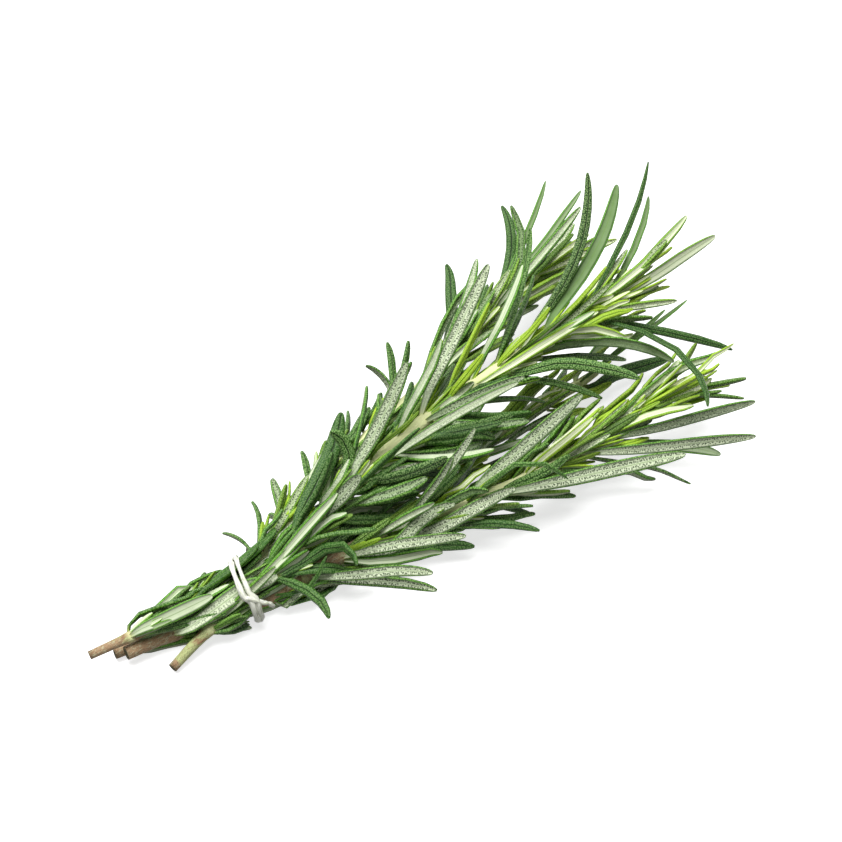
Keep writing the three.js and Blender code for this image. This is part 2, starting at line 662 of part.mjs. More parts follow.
function bunch() {
  const group = new THREE.Group();
  const stems = SPRIGS.map((sprig) => new Stem(sprig));
  const leaves = SPRIGS.flatMap((sprig, owner) => sprig.stations.flatMap((_, whorl) => (
    [...sprig.leaves.filter((l) => l.whorl === whorl), ...fillingLeaves(sprig, whorl)]
      .map((shape) => Object.assign(new Leaf(sprig, stems[owner], whorl, shape), { owner })))));
  relax(leaves, stems);

  const tieSolid = tie();
  const stemPieces = stems.map((stem) => placed(stem.geometry()));
  const fatStems = stems.map((stem) => toSolid(stem.geometry(GAP)));
  const collars = SPRIGS.flatMap((sprig, owner) => {
    const neighbours = fatStems.filter((_, i) => i !== owner).reduce((a, b) => a.add(b));
    return sprig.stations.map((station, whorl) => {
      const sleeve = toSolid(stems[owner].collar(station)).subtract(neighbours);
      return placed(toGeometry(sleeve), sprig, whorl);
    });
  });
  const tiePiece = placed(toGeometry(tieSolid));
  const kept = leavesWithRoom(leaves, [...stemPieces, ...collars, tiePiece]);

  SPRIGS.forEach((sprig, owner) => {
    group.add(named(`${sprig.name}_stem`, toGeometry(stemPieces[owner].solid), 'stem'));
    sprig.stations.forEach((_, whorl) => {
      const solid = [...collars, ...kept].filter((k) => sameWhorl(k, { sprig, whorl }))
        .map((k) => k.solid).reduce((sum, piece) => sum.add(piece));
      const number = String(whorl + 1).padStart(2, '0');
      group.add(named(`${sprig.name}_whorl_${number}`, toGeometry(solid), 'leaf'));
    });
  });
  group.add(named('raffia_tie', toGeometry(tieSolid), 'raffia'));

  const box = new THREE.Box3().setFromObject(group);
  const middle = box.getCenter(vector(0, 0, 0));
  group.position.set(-middle.x, -middle.y, -box.min.z);
  group.updateMatrixWorld(true);
  return group;
}

export default bunch();
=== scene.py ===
"""A small bunch of four cut rosemary sprigs, tied with raffia and lying on its side.

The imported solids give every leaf, stem and turn of raffia its place. A leaf of each kind is modelled
straight, and each copy of it is laid along the line that a solid leaf follows. Stems and raffia are modelled
straight and laid the same way.
"""
import logging
import math
import random
from collections.abc import Callable, Iterator
from dataclasses import dataclass, field
from enum import Enum

import bmesh
import bpy
import numpy as np
from mathutils import Matrix, Vector


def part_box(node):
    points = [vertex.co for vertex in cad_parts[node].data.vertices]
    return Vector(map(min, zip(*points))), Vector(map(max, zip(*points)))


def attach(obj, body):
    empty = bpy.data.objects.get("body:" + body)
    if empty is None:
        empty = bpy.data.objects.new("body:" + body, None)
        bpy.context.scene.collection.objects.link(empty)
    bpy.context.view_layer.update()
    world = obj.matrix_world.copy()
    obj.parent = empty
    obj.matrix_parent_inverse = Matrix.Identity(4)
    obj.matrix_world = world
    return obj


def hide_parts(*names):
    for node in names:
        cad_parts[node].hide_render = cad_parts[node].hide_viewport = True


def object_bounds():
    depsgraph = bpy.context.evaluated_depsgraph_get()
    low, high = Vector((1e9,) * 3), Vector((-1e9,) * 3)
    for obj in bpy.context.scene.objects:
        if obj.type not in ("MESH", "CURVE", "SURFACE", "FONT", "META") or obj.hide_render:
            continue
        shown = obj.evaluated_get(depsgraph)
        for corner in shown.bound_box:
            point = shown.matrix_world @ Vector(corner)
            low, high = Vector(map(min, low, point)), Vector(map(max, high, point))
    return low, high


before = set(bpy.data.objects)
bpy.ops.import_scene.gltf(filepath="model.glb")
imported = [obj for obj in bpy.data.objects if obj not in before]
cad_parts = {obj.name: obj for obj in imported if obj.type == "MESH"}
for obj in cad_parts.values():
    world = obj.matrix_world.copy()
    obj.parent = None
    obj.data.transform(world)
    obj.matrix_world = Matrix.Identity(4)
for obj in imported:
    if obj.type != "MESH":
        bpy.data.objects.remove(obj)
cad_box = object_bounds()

MM = 0.001
WELD = 1e-6
BODY = "root"
LEAF_MAP = "leaf_mm"
FIBRE_MAP = "fibre_mm"
# The corners in one ring of a solid leaf and of a solid stem.
LEAF_RING = 3
STEM_RING = 6
# A solid leaf narrower than the first is young, and one wider than the second is broad.
YOUNG_WIDTH = 1.86 * MM
BROAD_WIDTH = 2.55 * MM
# How deep a leaf's line runs in its solid, from the upper face to the keel.
LINE_DEPTH = 0.35
# How far out of the stem's middle a leaf is rooted, as a share of the stem's radius.
ROOT_SHARE = 0.6
# How high the middle of a leaf is that lies on the surface.
LYING_HEIGHT = 0.6 * MM
# The way round the stem that is left open above a bare node.
OPEN_TURN = 2.2
# The way out of the bunch on the side that most of its leaves face.
OPEN_SIDE = np.array([-0.49, -0.51, 0.71])
# Turns an upright primitive so that it lies along X with its first corner on top.
LYING = Matrix(((0, 0, 1), (1, 0, 0), (0, 1, 0))).to_euler()
log = logging.getLogger("rosemary")

Colour = tuple[float, float, float, float]


class Slot(Enum):
    """The record's material slots."""

    STEM = "stem"
    LEAF = "leaf"
    RAFFIA = "raffia"


@dataclass(frozen=True)
class Habit:
    """How one sprig grows, where it isn't like the others.

    Its cut girth is a share of the solid's. Its woody length and the stretch of low leaves are measured from
    its cut end, and the other stretches are shares of its length.
    """

    cut_girth: float
    woody_length: float
    low_leaves: tuple[float, float]
    bare_nodes: tuple[int, ...] = ()
    side_leaves: tuple[float, float] = (1.0, 1.0)
    young_until: float = 1.0


HABITS = {
    "a": Habit(0.8, 1.5 * MM, (14 * MM, 24 * MM), (2, 6, 7, 9, 10), side_leaves=(0.3, 0.56)),
    "b": Habit(1.05, 44 * MM, (17 * MM, 28 * MM), (2, 3, 8, 9)),
    "c": Habit(0.75, 6 * MM, (9 * MM, 32 * MM)),
    "d": Habit(0.9, 6 * MM, (2 * MM, 30 * MM), young_until=0.7),
}


# ---------------------------------------------------------------- shader nodes


def linear(red: int, green: int, blue: int) -> Colour:
    """Turns a screen colour into the linear colour that shader nodes take.

    Args:
        red: Red from 0 to 255.
        green: Green from 0 to 255.
        blue: Blue from 0 to 255.

    Returns:
        The linear colour with full alpha.
    """
    shares = (channel / 255 for channel in (red, green, blue))
    return tuple(c / 12.92 if c <= 0.04045 else ((c + 0.055) / 1.055) ** 2.4 for c in shares) + (1.0,)


class Socket:
    """One output of a node. Python's arithmetic on it adds Math nodes."""

    def __init__(self, board: "Board", output: bpy.types.NodeSocket) -> None:
        """Wraps an output.

        Args:
            board: The board that the node is on.
            output: The node's output.
        """
        self.board = board
        self.output = output

    def __add__(self, other: "Value") -> "Socket":
        """Adds."""
        return self.board.maths("ADD", self, other)

    def __radd__(self, other: "Value") -> "Socket":
        """Adds to a plain number."""
        return self.board.maths("ADD", other, self)

    def __sub__(self, other: "Value") -> "Socket":
        """Subtracts."""
        return self.board.maths("SUBTRACT", self, other)

    def __rsub__(self, other: "Value") -> "Socket":
        """Subtracts from a plain number."""
        return self.board.maths("SUBTRACT", other, self)

    def __mul__(self, other: "Value") -> "Socket":
        """Multiplies."""
        return self.board.maths("MULTIPLY", self, other)

    def __rmul__(self, other: "Value") -> "Socket":
        """Multiplies a plain number."""
        return self.board.maths("MULTIPLY", other, self)

    def __abs__(self) -> "Socket":
        """Drops the sign."""
        return self.board.maths("ABSOLUTE", self)

    def rise(self, start: float, end: float) -> "Socket":
        """Goes smoothly from 0 to 1 between two values.

        Args:
            start: The value that gives 0.
            end: The value that gives 1, which may be the lower of the two.

        Returns:
            The smooth step.
        """
        low, high = sorted((start, end))
        inputs = {"Value": self, "From Min": low, "From Max": high}
        if start > end:
            inputs |= {"To Min": 1.0, "To Max": 0.0}
        return self.board.node("ShaderNodeMapRange", {"interpolation_type": "SMOOTHSTEP"}, inputs)


Value = Socket | float | int | tuple


class Board:
    """The node board of one material."""

    def __init__(self, name: str) -> None:
        """Starts an empty material.

        Args:
            name: The material's name.
        """
        self.material = bpy.data.materials.new(name)
        self.material.use_nodes = True
        self.tree = self.material.node_tree
        self.tree.nodes.clear()

    @classmethod
    def over(cls, tree: bpy.types.NodeTree) -> "Board":
        """Takes up a node tree that is there already.

        Args:
            tree: The node tree.

        Returns:
            The board over it.
        """
        board = cls.__new__(cls)
        board.tree = tree
        return board

    def node(self, kind: str, settings: dict | None = None, inputs: dict | None = None,
             output: int | str | None = 0) -> Socket | None:
        """Adds a node.

        Args:
            kind: The node's type.
            settings: The node's own settings, which are set first.
            inputs: Values or sockets for the node's inputs, by name or number.
            output: The output to hand back, by name or number, if any.

        Returns:
            The chosen output.
        """
        made = self.tree.nodes.new(kind)
        for setting, value in (settings or {}).items():
            setattr(made, setting, value)
        for place, value in (inputs or {}).items():
            if isinstance(value, Socket):
                self.tree.links.new(value.output, made.inputs[place])
            else:
                made.inputs[place].default_value = value
        return None if output is None else Socket(self, made.outputs[output])

    def maths(self, operation: str, *values: Value) -> Socket:
        """Adds a Math node.

        Args:
            operation: The node's operation.
            *values: Its values in order.

        Returns:
            The result.
        """
        return self.node("ShaderNodeMath", {"operation": operation}, dict(enumerate(values)))

    def blend(self, factor: Value, first: Value, second: Value) -> Socket:
        """Mixes two colours.

        Args:
            factor: How much of the second colour shows.
            first: The first colour.
            second: The second colour.

        Returns:
            The mixed colour.
        """
        settings = {"data_type": "RGBA", "clamp_factor": True}
        return self.node("ShaderNodeMix", settings, {0: factor, 6: first, 7: second}, 2)

    def attribute(self, name: str) -> Socket:
        """Reads a number that the piece carries at each corner."""
        return self.node("ShaderNodeAttribute", {"attribute_name": name}, output="Fac")

    def place(self, scale: tuple[float, float, float] = (1, 1, 1)) -> Socket:
        """Reads a point's place on the piece, with each axis scaled."""
        here = self.node("ShaderNodeTexCoord", output="Object")
        return self.node("ShaderNodeMapping", inputs={"Vector": here, "Scale": scale})

    def surface(self, name: str, scale: tuple[float, float, float]) -> Socket:
        """Reads a point's place on the piece's own flat map, with each direction scaled."""
        flat = self.node("ShaderNodeUVMap", {"uv_map": name})
        return self.node("ShaderNodeMapping", inputs={"Vector": flat, "Scale": scale})

    def noise(self, where: Socket, scale: float, detail: float = 2.0) -> Socket:
        """Adds smooth noise from 0 to 1."""
        return self.node("ShaderNodeTexNoise", inputs={"Vector": where, "Scale": scale, "Detail": detail})

    def cells(self, where: Socket, scale: float, stray: float = 1.0) -> Socket:
        """Adds flat cells and gives the distance from each cell's middle."""
        inputs = {"Vector": where, "Scale": scale, "Randomness": stray}
        return self.node("ShaderNodeTexVoronoi", {"voronoi_dimensions": "2D"}, inputs, "Distance")

    def bump(self, height: Socket, strength: float, depth: float) -> Socket:
        """Turns heights into a bent normal."""
        inputs = {"Height": height, "Strength": strength, "Distance": depth}
        return self.node("ShaderNodeBump", inputs=inputs, output="Normal")

    def finish(self, **looks: Value) -> bpy.types.Material:
        """Closes the board with a Principled surface.

        Args:
            **looks: The surface's inputs, with _ for each space in a name.

        Returns:
            The material.
        """
        inputs = {name.replace("_", " "): value for name, value in looks.items()}
        return self.close(self.node("ShaderNodeBsdfPrincipled", inputs=inputs))

    def close(self, shader: Socket) -> bpy.types.Material:
        """Links the last shader to the material's output.

        Args:
            shader: The last shader.

        Returns:
            The material.
        """
        end = self.tree.nodes.new("ShaderNodeOutputMaterial")
        self.tree.links.new(shader.output, end.inputs["Surface"])
        return self.material


# ---------------------------------------------------------------- finishes


@dataclass(frozen=True)
class UpperLeafFinish:
    """The pebbled upper face and rolled edges of a leaf: deep green, or yellow-green while it is young, with
    a painted highlight on the beads and painted shade between them, in the midrib groove and along the lip.
    """

    # Painted shade in the crevices between the beads, in the midrib groove and along the lip.
    crevice_shade: Colour = linear(8, 28, 3)
    deep: Colour = linear(22, 70, 10)
    light: Colour = linear(88, 144, 52)
    # Painted highlight on the tops of the beads.
    crest_highlight: Colour = linear(186, 210, 146)
    margin: Colour = linear(108, 178, 44)
    young: Colour = linear(172, 210, 50)
    # Painted highlight on the beads of a young leaf.
    young_crest_highlight: Colour = linear(220, 236, 120)
    # Painted shade between the beads of a young leaf.
    young_crevice_shade: Colour = linear(84, 134, 18)
    base: Colour = linear(196, 204, 120)
    beads_per_mm: float = 3.9
    roughness: float = 0.42
    shine: float = 0.22

    def material(self) -> bpy.types.Material:
        """Makes the upper leaf's material.

        Returns:
            The material.
        """
        board = Board("leaf_upper")
        age = board.attribute("age")
        along = board.attribute("along")
        across = abs(board.attribute("across"))
        under = board.attribute("under")
        patch = board.noise(board.place(), 450.0)
        cell = board.cells(board.surface(LEAF_MAP, (0.7, 1.0, 1.0)), self.beads_per_mm, 0.8)
        mound = cell.rise(0.6, 0.1)
        groove = across.rise(0.14, 0.04) * under.rise(0.5, 0.3)
        lip = under.rise(0.5, 0.9) * board.attribute("inset").rise(1.25, 1.0)
        green = board.blend(board.attribute("tone") * 0.7 + patch * 0.3, self.deep, self.light)
        green = board.blend(under.rise(0.05, 0.5) * 0.75, green, self.margin)
        green = board.blend(age, green, self.young)
        crest_highlight = board.blend(age, self.crest_highlight, self.young_crest_highlight)
        crevice_shade = board.blend(age, self.crevice_shade, self.young_crevice_shade)
        # How strongly the beads stand out, both in their relief and in their painted highlight and shade.
        beads = board.attribute("speckle") * 0.55 + 0.45
        # Painted highlight on the tops of the beads.
        green = board.blend(mound * beads * 0.46, green, crest_highlight)
        # Painted shade in the crevices between the beads.
        green = board.blend(mound.rise(0.4, 0.0) * beads * (0.6 - age * 0.35), green, crevice_shade)
        # Painted shade in the midrib groove and along the lip under the rolled edge.
        green = board.blend((groove + lip * 0.5) * 0.8, green, crevice_shade)
        green = board.blend(along.rise(0.12, 0.0) * 0.8, green, self.base)
        height = mound * beads - groove * 1.5
        return board.finish(Base_Color=green, Roughness=self.roughness, Specular_IOR_Level=self.shine,
                            Normal=board.bump(height, 0.85, 0.00009))


@dataclass(frozen=True)
class UndersideFinish:
    """The pale felt under a leaf, with dark glands in two bands, a thin midrib and painted shade along the
    rolled edges.
    """

    felt: Colour = linear(220, 231, 198)
    dull: Colour = linear(96, 130, 70)
    young: Colour = linear(240, 248, 204)
    gland: Colour = linear(34, 64, 18)
    # Painted shade along the lip, under the rolled edge.
    crevice_shade: Colour = linear(34, 60, 14)
    rib: Colour = linear(112, 146, 72)
    base: Colour = linear(216, 220, 152)
    glands_per_mm: float = 3.4
    roughness: float = 0.75
    shine: float = 0.2

    def material(self) -> bpy.types.Material:
        """Makes the underside's material.

        Returns:
            The material.
        """
        board = Board("leaf_underside")
        age = board.attribute("age")
        tone = board.attribute("tone")
        along = board.attribute("along")
        inset = board.attribute("inset")
        patch = board.noise(board.place(), 450.0)
        fuzz = board.noise(board.place(), 6000.0)
        cell = board.cells(board.surface(LEAF_MAP, (0.75, 1.0, 1.0)), self.glands_per_mm)
        felt = board.blend(tone.rise(0.3, 1.0) * 0.8 + patch * 0.2, self.felt, self.dull)
        felt = board.blend(age, felt, self.young)
        band = inset.rise(0.1, 0.3) * inset.rise(1.0, 0.85)
        rough = along.rise(0.02, 0.3) * (patch * 0.5 + board.attribute("speckle")).rise(0.3, 0.9)
        dark = (cell + fuzz * 0.5).rise(0.74, 0.5) * rough * band
        colour = board.blend(inset.rise(0.14, 0.05) * 0.55, felt, self.rib)
        colour = board.blend(dark * 0.85, colour, self.gland)
        # Painted shade along the lip, where the rolled edge overhangs the felt.
        colour = board.blend(inset.rise(0.84, 1.0) * (0.85 - age * 0.4), colour, self.crevice_shade)
        colour = board.blend(along.rise(0.1, 0.0) * 0.7, colour, self.base)
        height = fuzz * 0.6 - dark
        return board.finish(Base_Color=colour, Roughness=self.roughness, Specular_IOR_Level=self.shine,
                            Normal=board.bump(height, 0.7, 0.00008))


@dataclass(frozen=True)
class BarkFinish:
    """The skin of a stem: flaking brown wood at the cut end, pale yellow-green towards the bud."""

    wood: Colour = linear(168, 138, 104)
    flake: Colour = linear(190, 180, 144)
    crack: Colour = linear(78, 62, 38)
    green: Colour = linear(178, 186, 126)
    tender: Colour = linear(236, 240, 180)
    scar: Colour = linear(150, 116, 82)
    roughness: float = 0.7

    def material(self) -> bpy.types.Material:
        """Makes the bark's material.

        Returns:
            The material.
        """
        board = Board("bark")
        here = board.place()
        along = board.attribute("along")
        patch = board.noise(here, 420.0, 4.0)
        grain = board.noise(board.place((0.3, 1, 1)), 2800.0, 4.0)
        speck = board.noise(here, 2600.0, 3.0)
        grit = board.noise(here, 7000.0, 3.0)
        wood = board.blend(grain.rise(0.5, 0.62), self.wood, self.flake)
        wood = board.blend(grit.rise(0.48, 0.34) * 0.8, wood, self.crack)
        green = board.blend(along.rise(0.05, 0.3), self.green, self.tender)
        streak = board.noise(board.place((0.25, 1, 1)), 900.0, 3.0).rise(0.52, 0.62)
        green = board.blend(streak * along.rise(0.25, 0.1), green, self.scar)
        green = board.blend(grit.rise(0.46, 0.36) * along.rise(0.25, 0.1) * 0.6, green, self.crack)
        green = board.blend(speck.rise(0.6, 0.72) * along.rise(0.45, 0.25), green, self.scar)
        green = board.blend(board.attribute("swelling").rise(0.4, 1.0) * 0.6, green, self.tender)
        woody = (board.attribute("woody") + patch * 1.4 - 0.7).rise(-0.1, 0.2)
        colour = board.blend(woody, green, wood)
        height = grain + speck * 0.5 + grit * 0.5
        return board.finish(Base_Color=colour, Roughness=self.roughness,
                            Normal=board.bump(height, 0.8, 0.0002))


@dataclass(frozen=True)
class CutFaceFinish:
    """The cut end of a stem: dark, with a paler pith."""

    rim: Colour = linear(44, 40, 20)
    wood: Colour = linear(104, 98, 56)
    roughness: float = 0.8

    def material(self) -> bpy.types.Material:
        """Makes the cut face's material.

        Returns:
            The material.
        """
        board = Board("cut_face")
        grain = board.noise(board.place(), 4000.0, 4.0)
        colour = board.blend(grain.rise(0.4, 0.65), self.rim, self.wood)
        return board.finish(Base_Color=colour, Roughness=self.roughness,
                            Normal=board.bump(grain, 0.5, 0.0002))


@dataclass(frozen=True)
class RaffiaFinish:
    """Dry raffia: creamy fibres with green tinges, and painted shade in the creases between them."""

    cream: Colour = linear(250, 251, 240)
    fibre: Colour = linear(226, 230, 204)
    tinge: Colour = linear(160, 184, 116)
    # Painted shade in the creases between fibres.
    crease_shade: Colour = linear(128, 132, 92)
    roughness: float = 0.6

    def material(self) -> bpy.types.Material:
        """Makes the raffia's material.

        Returns:
            The material.
        """
        board = Board("raffia")
        fibres = board.noise(board.surface(FIBRE_MAP, (2.4, 0.16, 1.0)), 1.0, 4.0)
        patch = board.noise(board.place(), 500.0)
        colour = board.blend(fibres.rise(0.45, 0.62), self.cream, self.fibre)
        colour = board.blend(patch.rise(0.55, 0.8) * 0.8, colour, self.tinge)
        # Painted shade where the fibres' relief is lowest, in the creases.
        colour = board.blend(fibres.rise(0.42, 0.36) * 0.6, colour, self.crease_shade)
        return board.finish(Base_Color=colour, Roughness=self.roughness,
                            Normal=board.bump(fibres, 0.8, 0.0003))


# ---------------------------------------------------------------- reading the solids


class SolidGraph:
    """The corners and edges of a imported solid, with its loose triangles joined up."""

    def __init__(self, node: str) -> None:
        """Joins a copy of the node's triangles.

        Args:
            node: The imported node's name.
        """
        self.shape = bmesh.new()
        self.shape.from_mesh(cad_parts[node].data)
        bmesh.ops.remove_doubles(self.shape, verts=self.shape.verts, dist=WELD)
        self.corners = np.array([corner.co for corner in self.shape.verts])

    def rings(self, tip: bmesh.types.BMVert, size: int) -> list[list[Vector]]:
        """Walks from a tip over ring after ring while each has the same number of corners.

        Args:
            tip: The corner to start from.
            size: The number of corners that a ring has.

        Returns:
            The rings found, each a list of places.
        """
        seen = {tip}
        layer = [tip]
        found = []
        while True:
            ahead = dict.fromkeys(edge.other_vert(corner) for corner in layer for edge in corner.link_edges)
            layer = [corner for corner in ahead if corner not in seen]
            if len(layer) != size:
                return found
            seen.update(layer)
            found.append([corner.co.copy() for corner in layer])

    def tips(self, size: int) -> Iterator[tuple[Vector, list[list[Vector]]]]:
        """Gives each corner that ends a run of rings, with its rings.

        Args:
            size: The number of corners that a ring has.

        Yields:
            The tip's place and the rings behind it.
        """
        for corner in self.shape.verts:
            if len(corner.link_edges) == size:
                rings = self.rings(corner, size)
                if rings:
                    yield corner.co.copy(), rings


def middle(points: list[Vector]) -> Vector:
    """Finds the mean of some points."""
    return sum(points, Vector()) / len(points)


class Spine:
    """A smooth line through points, with a direction that counts as up at each of them."""

    def __init__(self, points: list[Vector], ups: list[Vector]) -> None:
        """Measures the line.

        Args:
            points: The points, from the base to the tip.
            ups: What is up at each point.
        """
        self.points = np.array(points)
        self.points[:, 2] = np.maximum(self.points[:, 2], cad_box[0][2] + LYING_HEIGHT)
        self.ups = np.array(ups)
        steps = np.linalg.norm(np.diff(self.points, axis=0), axis=1)
        self.marks = np.concatenate(([0.0], np.cumsum(steps)))
        self.length = float(self.marks[-1])
        self.slopes = np.gradient(self.points, self.marks, axis=0)

    def arched(self, height: float) -> "Spine":
        """Copies the line with its middle lifted by a height and its ends left where they are."""
        lift = np.sin(math.pi * self.marks / self.length) * height
        return Spine(self.points + lift[:, None] * (0, 0, 1), self.ups)

    def at(self, shares: np.ndarray) -> tuple[np.ndarray, np.ndarray, np.ndarray, np.ndarray]:
        """Finds places along the line.

        Args:
            shares: How far along each place is, from 0 to 1.

        Returns:
            The places, and at each of them the ways along, across and up.
        """
        reach = np.clip(shares, 0, 1) * self.length
        first = np.clip(np.searchsorted(self.marks, reach, side="right") - 1, 0, len(self.marks) - 2)
        span = (self.marks[first + 1] - self.marks[first])[:, None]
        t = (reach - self.marks[first])[:, None] / span
        here, there = self.points[first], self.points[first + 1]
        leaving, coming = self.slopes[first] * span, self.slopes[first + 1] * span
        places = ((2 * t**3 - 3 * t**2 + 1) * here + (t**3 - 2 * t**2 + t) * leaving
                  + (3 * t**2 - 2 * t**3) * there + (t**3 - t**2) * coming)
        along = unit((6 * t**2 - 6 * t) * (here - there) + (3 * t**2 - 4 * t + 1) * leaving
                     + (3 * t**2 - 2 * t) * coming)
        soft = t * t * (3 - 2 * t)
        up = self.ups[first] * (1 - soft) + self.ups[first + 1] * soft
        across = unit(np.cross(up, along))
        return places, along, across, np.cross(along, across)

    def lay(self, points: np.ndarray) -> np.ndarray:
        """Bends points of a straight shape along the line.

        Args:
            points: For each point, its share of the length, then its distances across and up.

        Returns:
            The bent points.
        """
        places, _, across, up = self.at(points[:, 0])
        return places + across * points[:, 1:2] + up * points[:, 2:3]


def unit(vectors: np.ndarray) -> np.ndarray:
    """Scales each row to a length of one."""
    return vectors / np.maximum(np.linalg.norm(vectors, axis=-1, keepdims=True), 1e-12)


# ---------------------------------------------------------------- modelling by hand


class Workpiece:
    """The active mesh, shaped in edit mode with its corners, edges and faces picked by their place."""

    def __init__(self, name: str) -> None:
        """Takes up the primitive that was just added and starts to edit it.

        Args:
            name: The name that it gets.
        """
        self.shape = bpy.context.object
        self.shape.name = name
        bpy.ops.object.transform_apply(location=True, rotation=True, scale=True)
        bpy.ops.object.mode_set(mode="EDIT")

    @classmethod
    def rod(cls, name: str, sides: int) -> "Workpiece":
        """Starts from a round rod on the X axis, a unit long and two units thick.

        Args:
            name: The name that it gets.
            sides: How many sides the rod has.

        Returns:
            The rod, ready to shape.
        """
        deselect()
        bpy.ops.mesh.primitive_cylinder_add(vertices=sides, radius=1.0, depth=1.0,
                                            location=(0.5, 0, 0), rotation=LYING)
        return cls(name)

    def pick_corners(self, wanted: Callable[[Vector], bool]) -> None:
        """Selects just the corners at wanted places."""
        self._pick("VERT", lambda mesh: mesh.verts, lambda corner: wanted(corner.co))

    def pick_edges(self, wanted: Callable[[bmesh.types.BMEdge], bool]) -> None:
        """Selects just the wanted edges."""
        self._pick("EDGE", lambda mesh: mesh.edges, wanted)

    def pick_faces(self, wanted: Callable[[bmesh.types.BMFace], bool]) -> None:
        """Selects just the wanted faces."""
        self._pick("FACE", lambda mesh: mesh.faces, wanted)

    def _pick(self, mode: str, kind: Callable, wanted: Callable) -> None:
        """Selects the wanted parts of one kind and nothing else.

        Args:
            mode: The kind of part, as edit mode names it.
            kind: Gives the mesh's parts of that kind.
            wanted: Tells whether a part is wanted.
        """
        bpy.ops.mesh.select_mode(type=mode)
        bpy.ops.mesh.select_all(action="DESELECT")
        mesh = bmesh.from_edit_mesh(self.shape.data)
        for part in kind(mesh):
            part.select_set(wanted(part))
        mesh.select_flush_mode()
        bmesh.update_edit_mesh(self.shape.data)

    def divide(self, cuts: int) -> None:
        """Cuts a new rod into equal lengths."""
        self.pick_edges(lambda edge: abs(edge.verts[0].co.x - edge.verts[1].co.x) > 0.5)
        bpy.ops.mesh.subdivide(number_cuts=cuts)

    def cut(self, x: float) -> None:
        """Cuts a ring of new edges round the whole shape at one place."""
        bpy.ops.mesh.select_all(action="SELECT")
        bpy.ops.mesh.bisect(plane_co=(x, 0, 0), plane_no=(1, 0, 0))

    def resize(self, factors: tuple[float, float, float], about: tuple[float, float, float]) -> None:
        """Scales what is selected about a point."""
        bpy.ops.transform.resize(value=factors, center_override=about)

    def move(self, step: tuple[float, float, float]) -> None:
        """Moves what is selected."""
        bpy.ops.transform.translate(value=step)

    def done(self, subdivisions: int = 0) -> bpy.types.Object:
        """Leaves edit mode, smooths the shape and shades it smooth.

        Args:
            subdivisions: Levels of Subdivision Surface to apply.

        Returns:
            The finished object.
        """
        bpy.ops.object.mode_set(mode="OBJECT")
        if subdivisions:
            bpy.ops.object.modifier_add(type="SUBSURF")
            smoother = self.shape.modifiers[-1]
            smoother.levels = subdivisions
            smoother.render_levels = subdivisions
            bpy.ops.object.modifier_apply(modifier=smoother.name)
        bpy.ops.object.shade_smooth()
        return self.shape


def deselect() -> None:
    """Leaves nothing selected."""
    bpy.ops.object.select_all(action="DESELECT")


def close_to(value: float, target: float, slack: float = 1e-4) -> bool:
    """Tells whether a value is at its target."""
    return abs(value - target) < slack


def numbers(mesh: bpy.types.Mesh, name: str, values: np.ndarray) -> None:
    """Gives each corner of a mesh a number that its material can read.

    Args:
        mesh: The mesh.
        name: The attribute's name.
        values: One number for each corner.
    """
    layer = mesh.attributes.get(name) or mesh.attributes.new(name, "FLOAT", "POINT")
    layer.data.foreach_set("value", values.astype(np.float32))


def places(mesh: bpy.types.Mesh) -> np.ndarray:
    """Reads the place of each corner of a mesh.

    Args:
        mesh: The mesh.

    Returns:
        One row for each corner.
    """
    flat = np.empty(len(mesh.vertices) * 3)
    mesh.vertices.foreach_get("co", flat)
    return flat.reshape(-1, 3)


def move_to(mesh: bpy.types.Mesh, spots: np.ndarray) -> None:
    """Moves each corner of a mesh to its new place."""
    mesh.vertices.foreach_set("co", spots.ravel())
    mesh.update()


def map_flat(mesh: bpy.types.Mesh, name: str, spots: np.ndarray) -> None:
    """Names the mesh's flat map and lays the mesh out on it.

    Args:
        mesh: The mesh.
        name: The map's name.
        spots: The place on the map of each corner.
    """
    flat = mesh.uv_layers[0]
    flat.name = name
    corners = np.empty(len(mesh.loops), dtype=np.int32)
    mesh.loops.foreach_get("vertex_index", corners)
    flat.data.foreach_set("uv", spots[corners].ravel())


def join(pieces: list[bpy.types.Object], name: str) -> bpy.types.Object:
    """Joins objects into one.

    Args:
        pieces: The objects.
        name: The joined object's name.

    Returns:
        The joined object.
    """
    deselect()
    for piece in pieces:
        piece.select_set(True)
    bpy.context.view_layer.objects.active = pieces[0]
    bpy.ops.object.join()
    pieces[0].name = name
    pieces[0].data.name = name
    return pieces[0]


def declare(piece: bpy.types.Object, slot: Slot, *nodes: str) -> None:
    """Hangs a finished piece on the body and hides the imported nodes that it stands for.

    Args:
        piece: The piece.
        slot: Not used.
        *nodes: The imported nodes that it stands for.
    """
    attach(piece, BODY)
    if nodes:
        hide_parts(*nodes)


# ---------------------------------------------------------------- leaves


@dataclass(frozen=True)
class Section:
    """Half of a leaf's section, in half-widths across and up: its other half is the mirror image."""

    groove: tuple[float, float]
    crown: tuple[float, float]
    edge: tuple[float, float]
    lip: tuple[float, float]
    hollow: tuple[float, float]
    rib: tuple[float, float]

    def columns(self) -> tuple[tuple[float, float], ...]:
        """Lists the section's corners from the top round to the bottom."""
        return self.groove, self.crown, self.edge, self.lip, self.hollow, self.rib


class Form(Enum):
    """The kinds of leaf, from flat ones with narrow edges to young ones that are nearly closed."""

    BROAD = Section((0, 0.06), (0.48, 0.22), (1.0, -0.14), (0.62, -0.38), (0.54, -0.22), (0, -0.18))
    ROLLED = Section((0, 0.10), (0.52, 0.36), (1.0, -0.08), (0.56, -0.52), (0.45, -0.32), (0, -0.28))
    YOUNG = Section((0, 0.12), (0.52, 0.42), (1.0, -0.06), (0.54, -0.56), (0.42, -0.42), (0, -0.36))


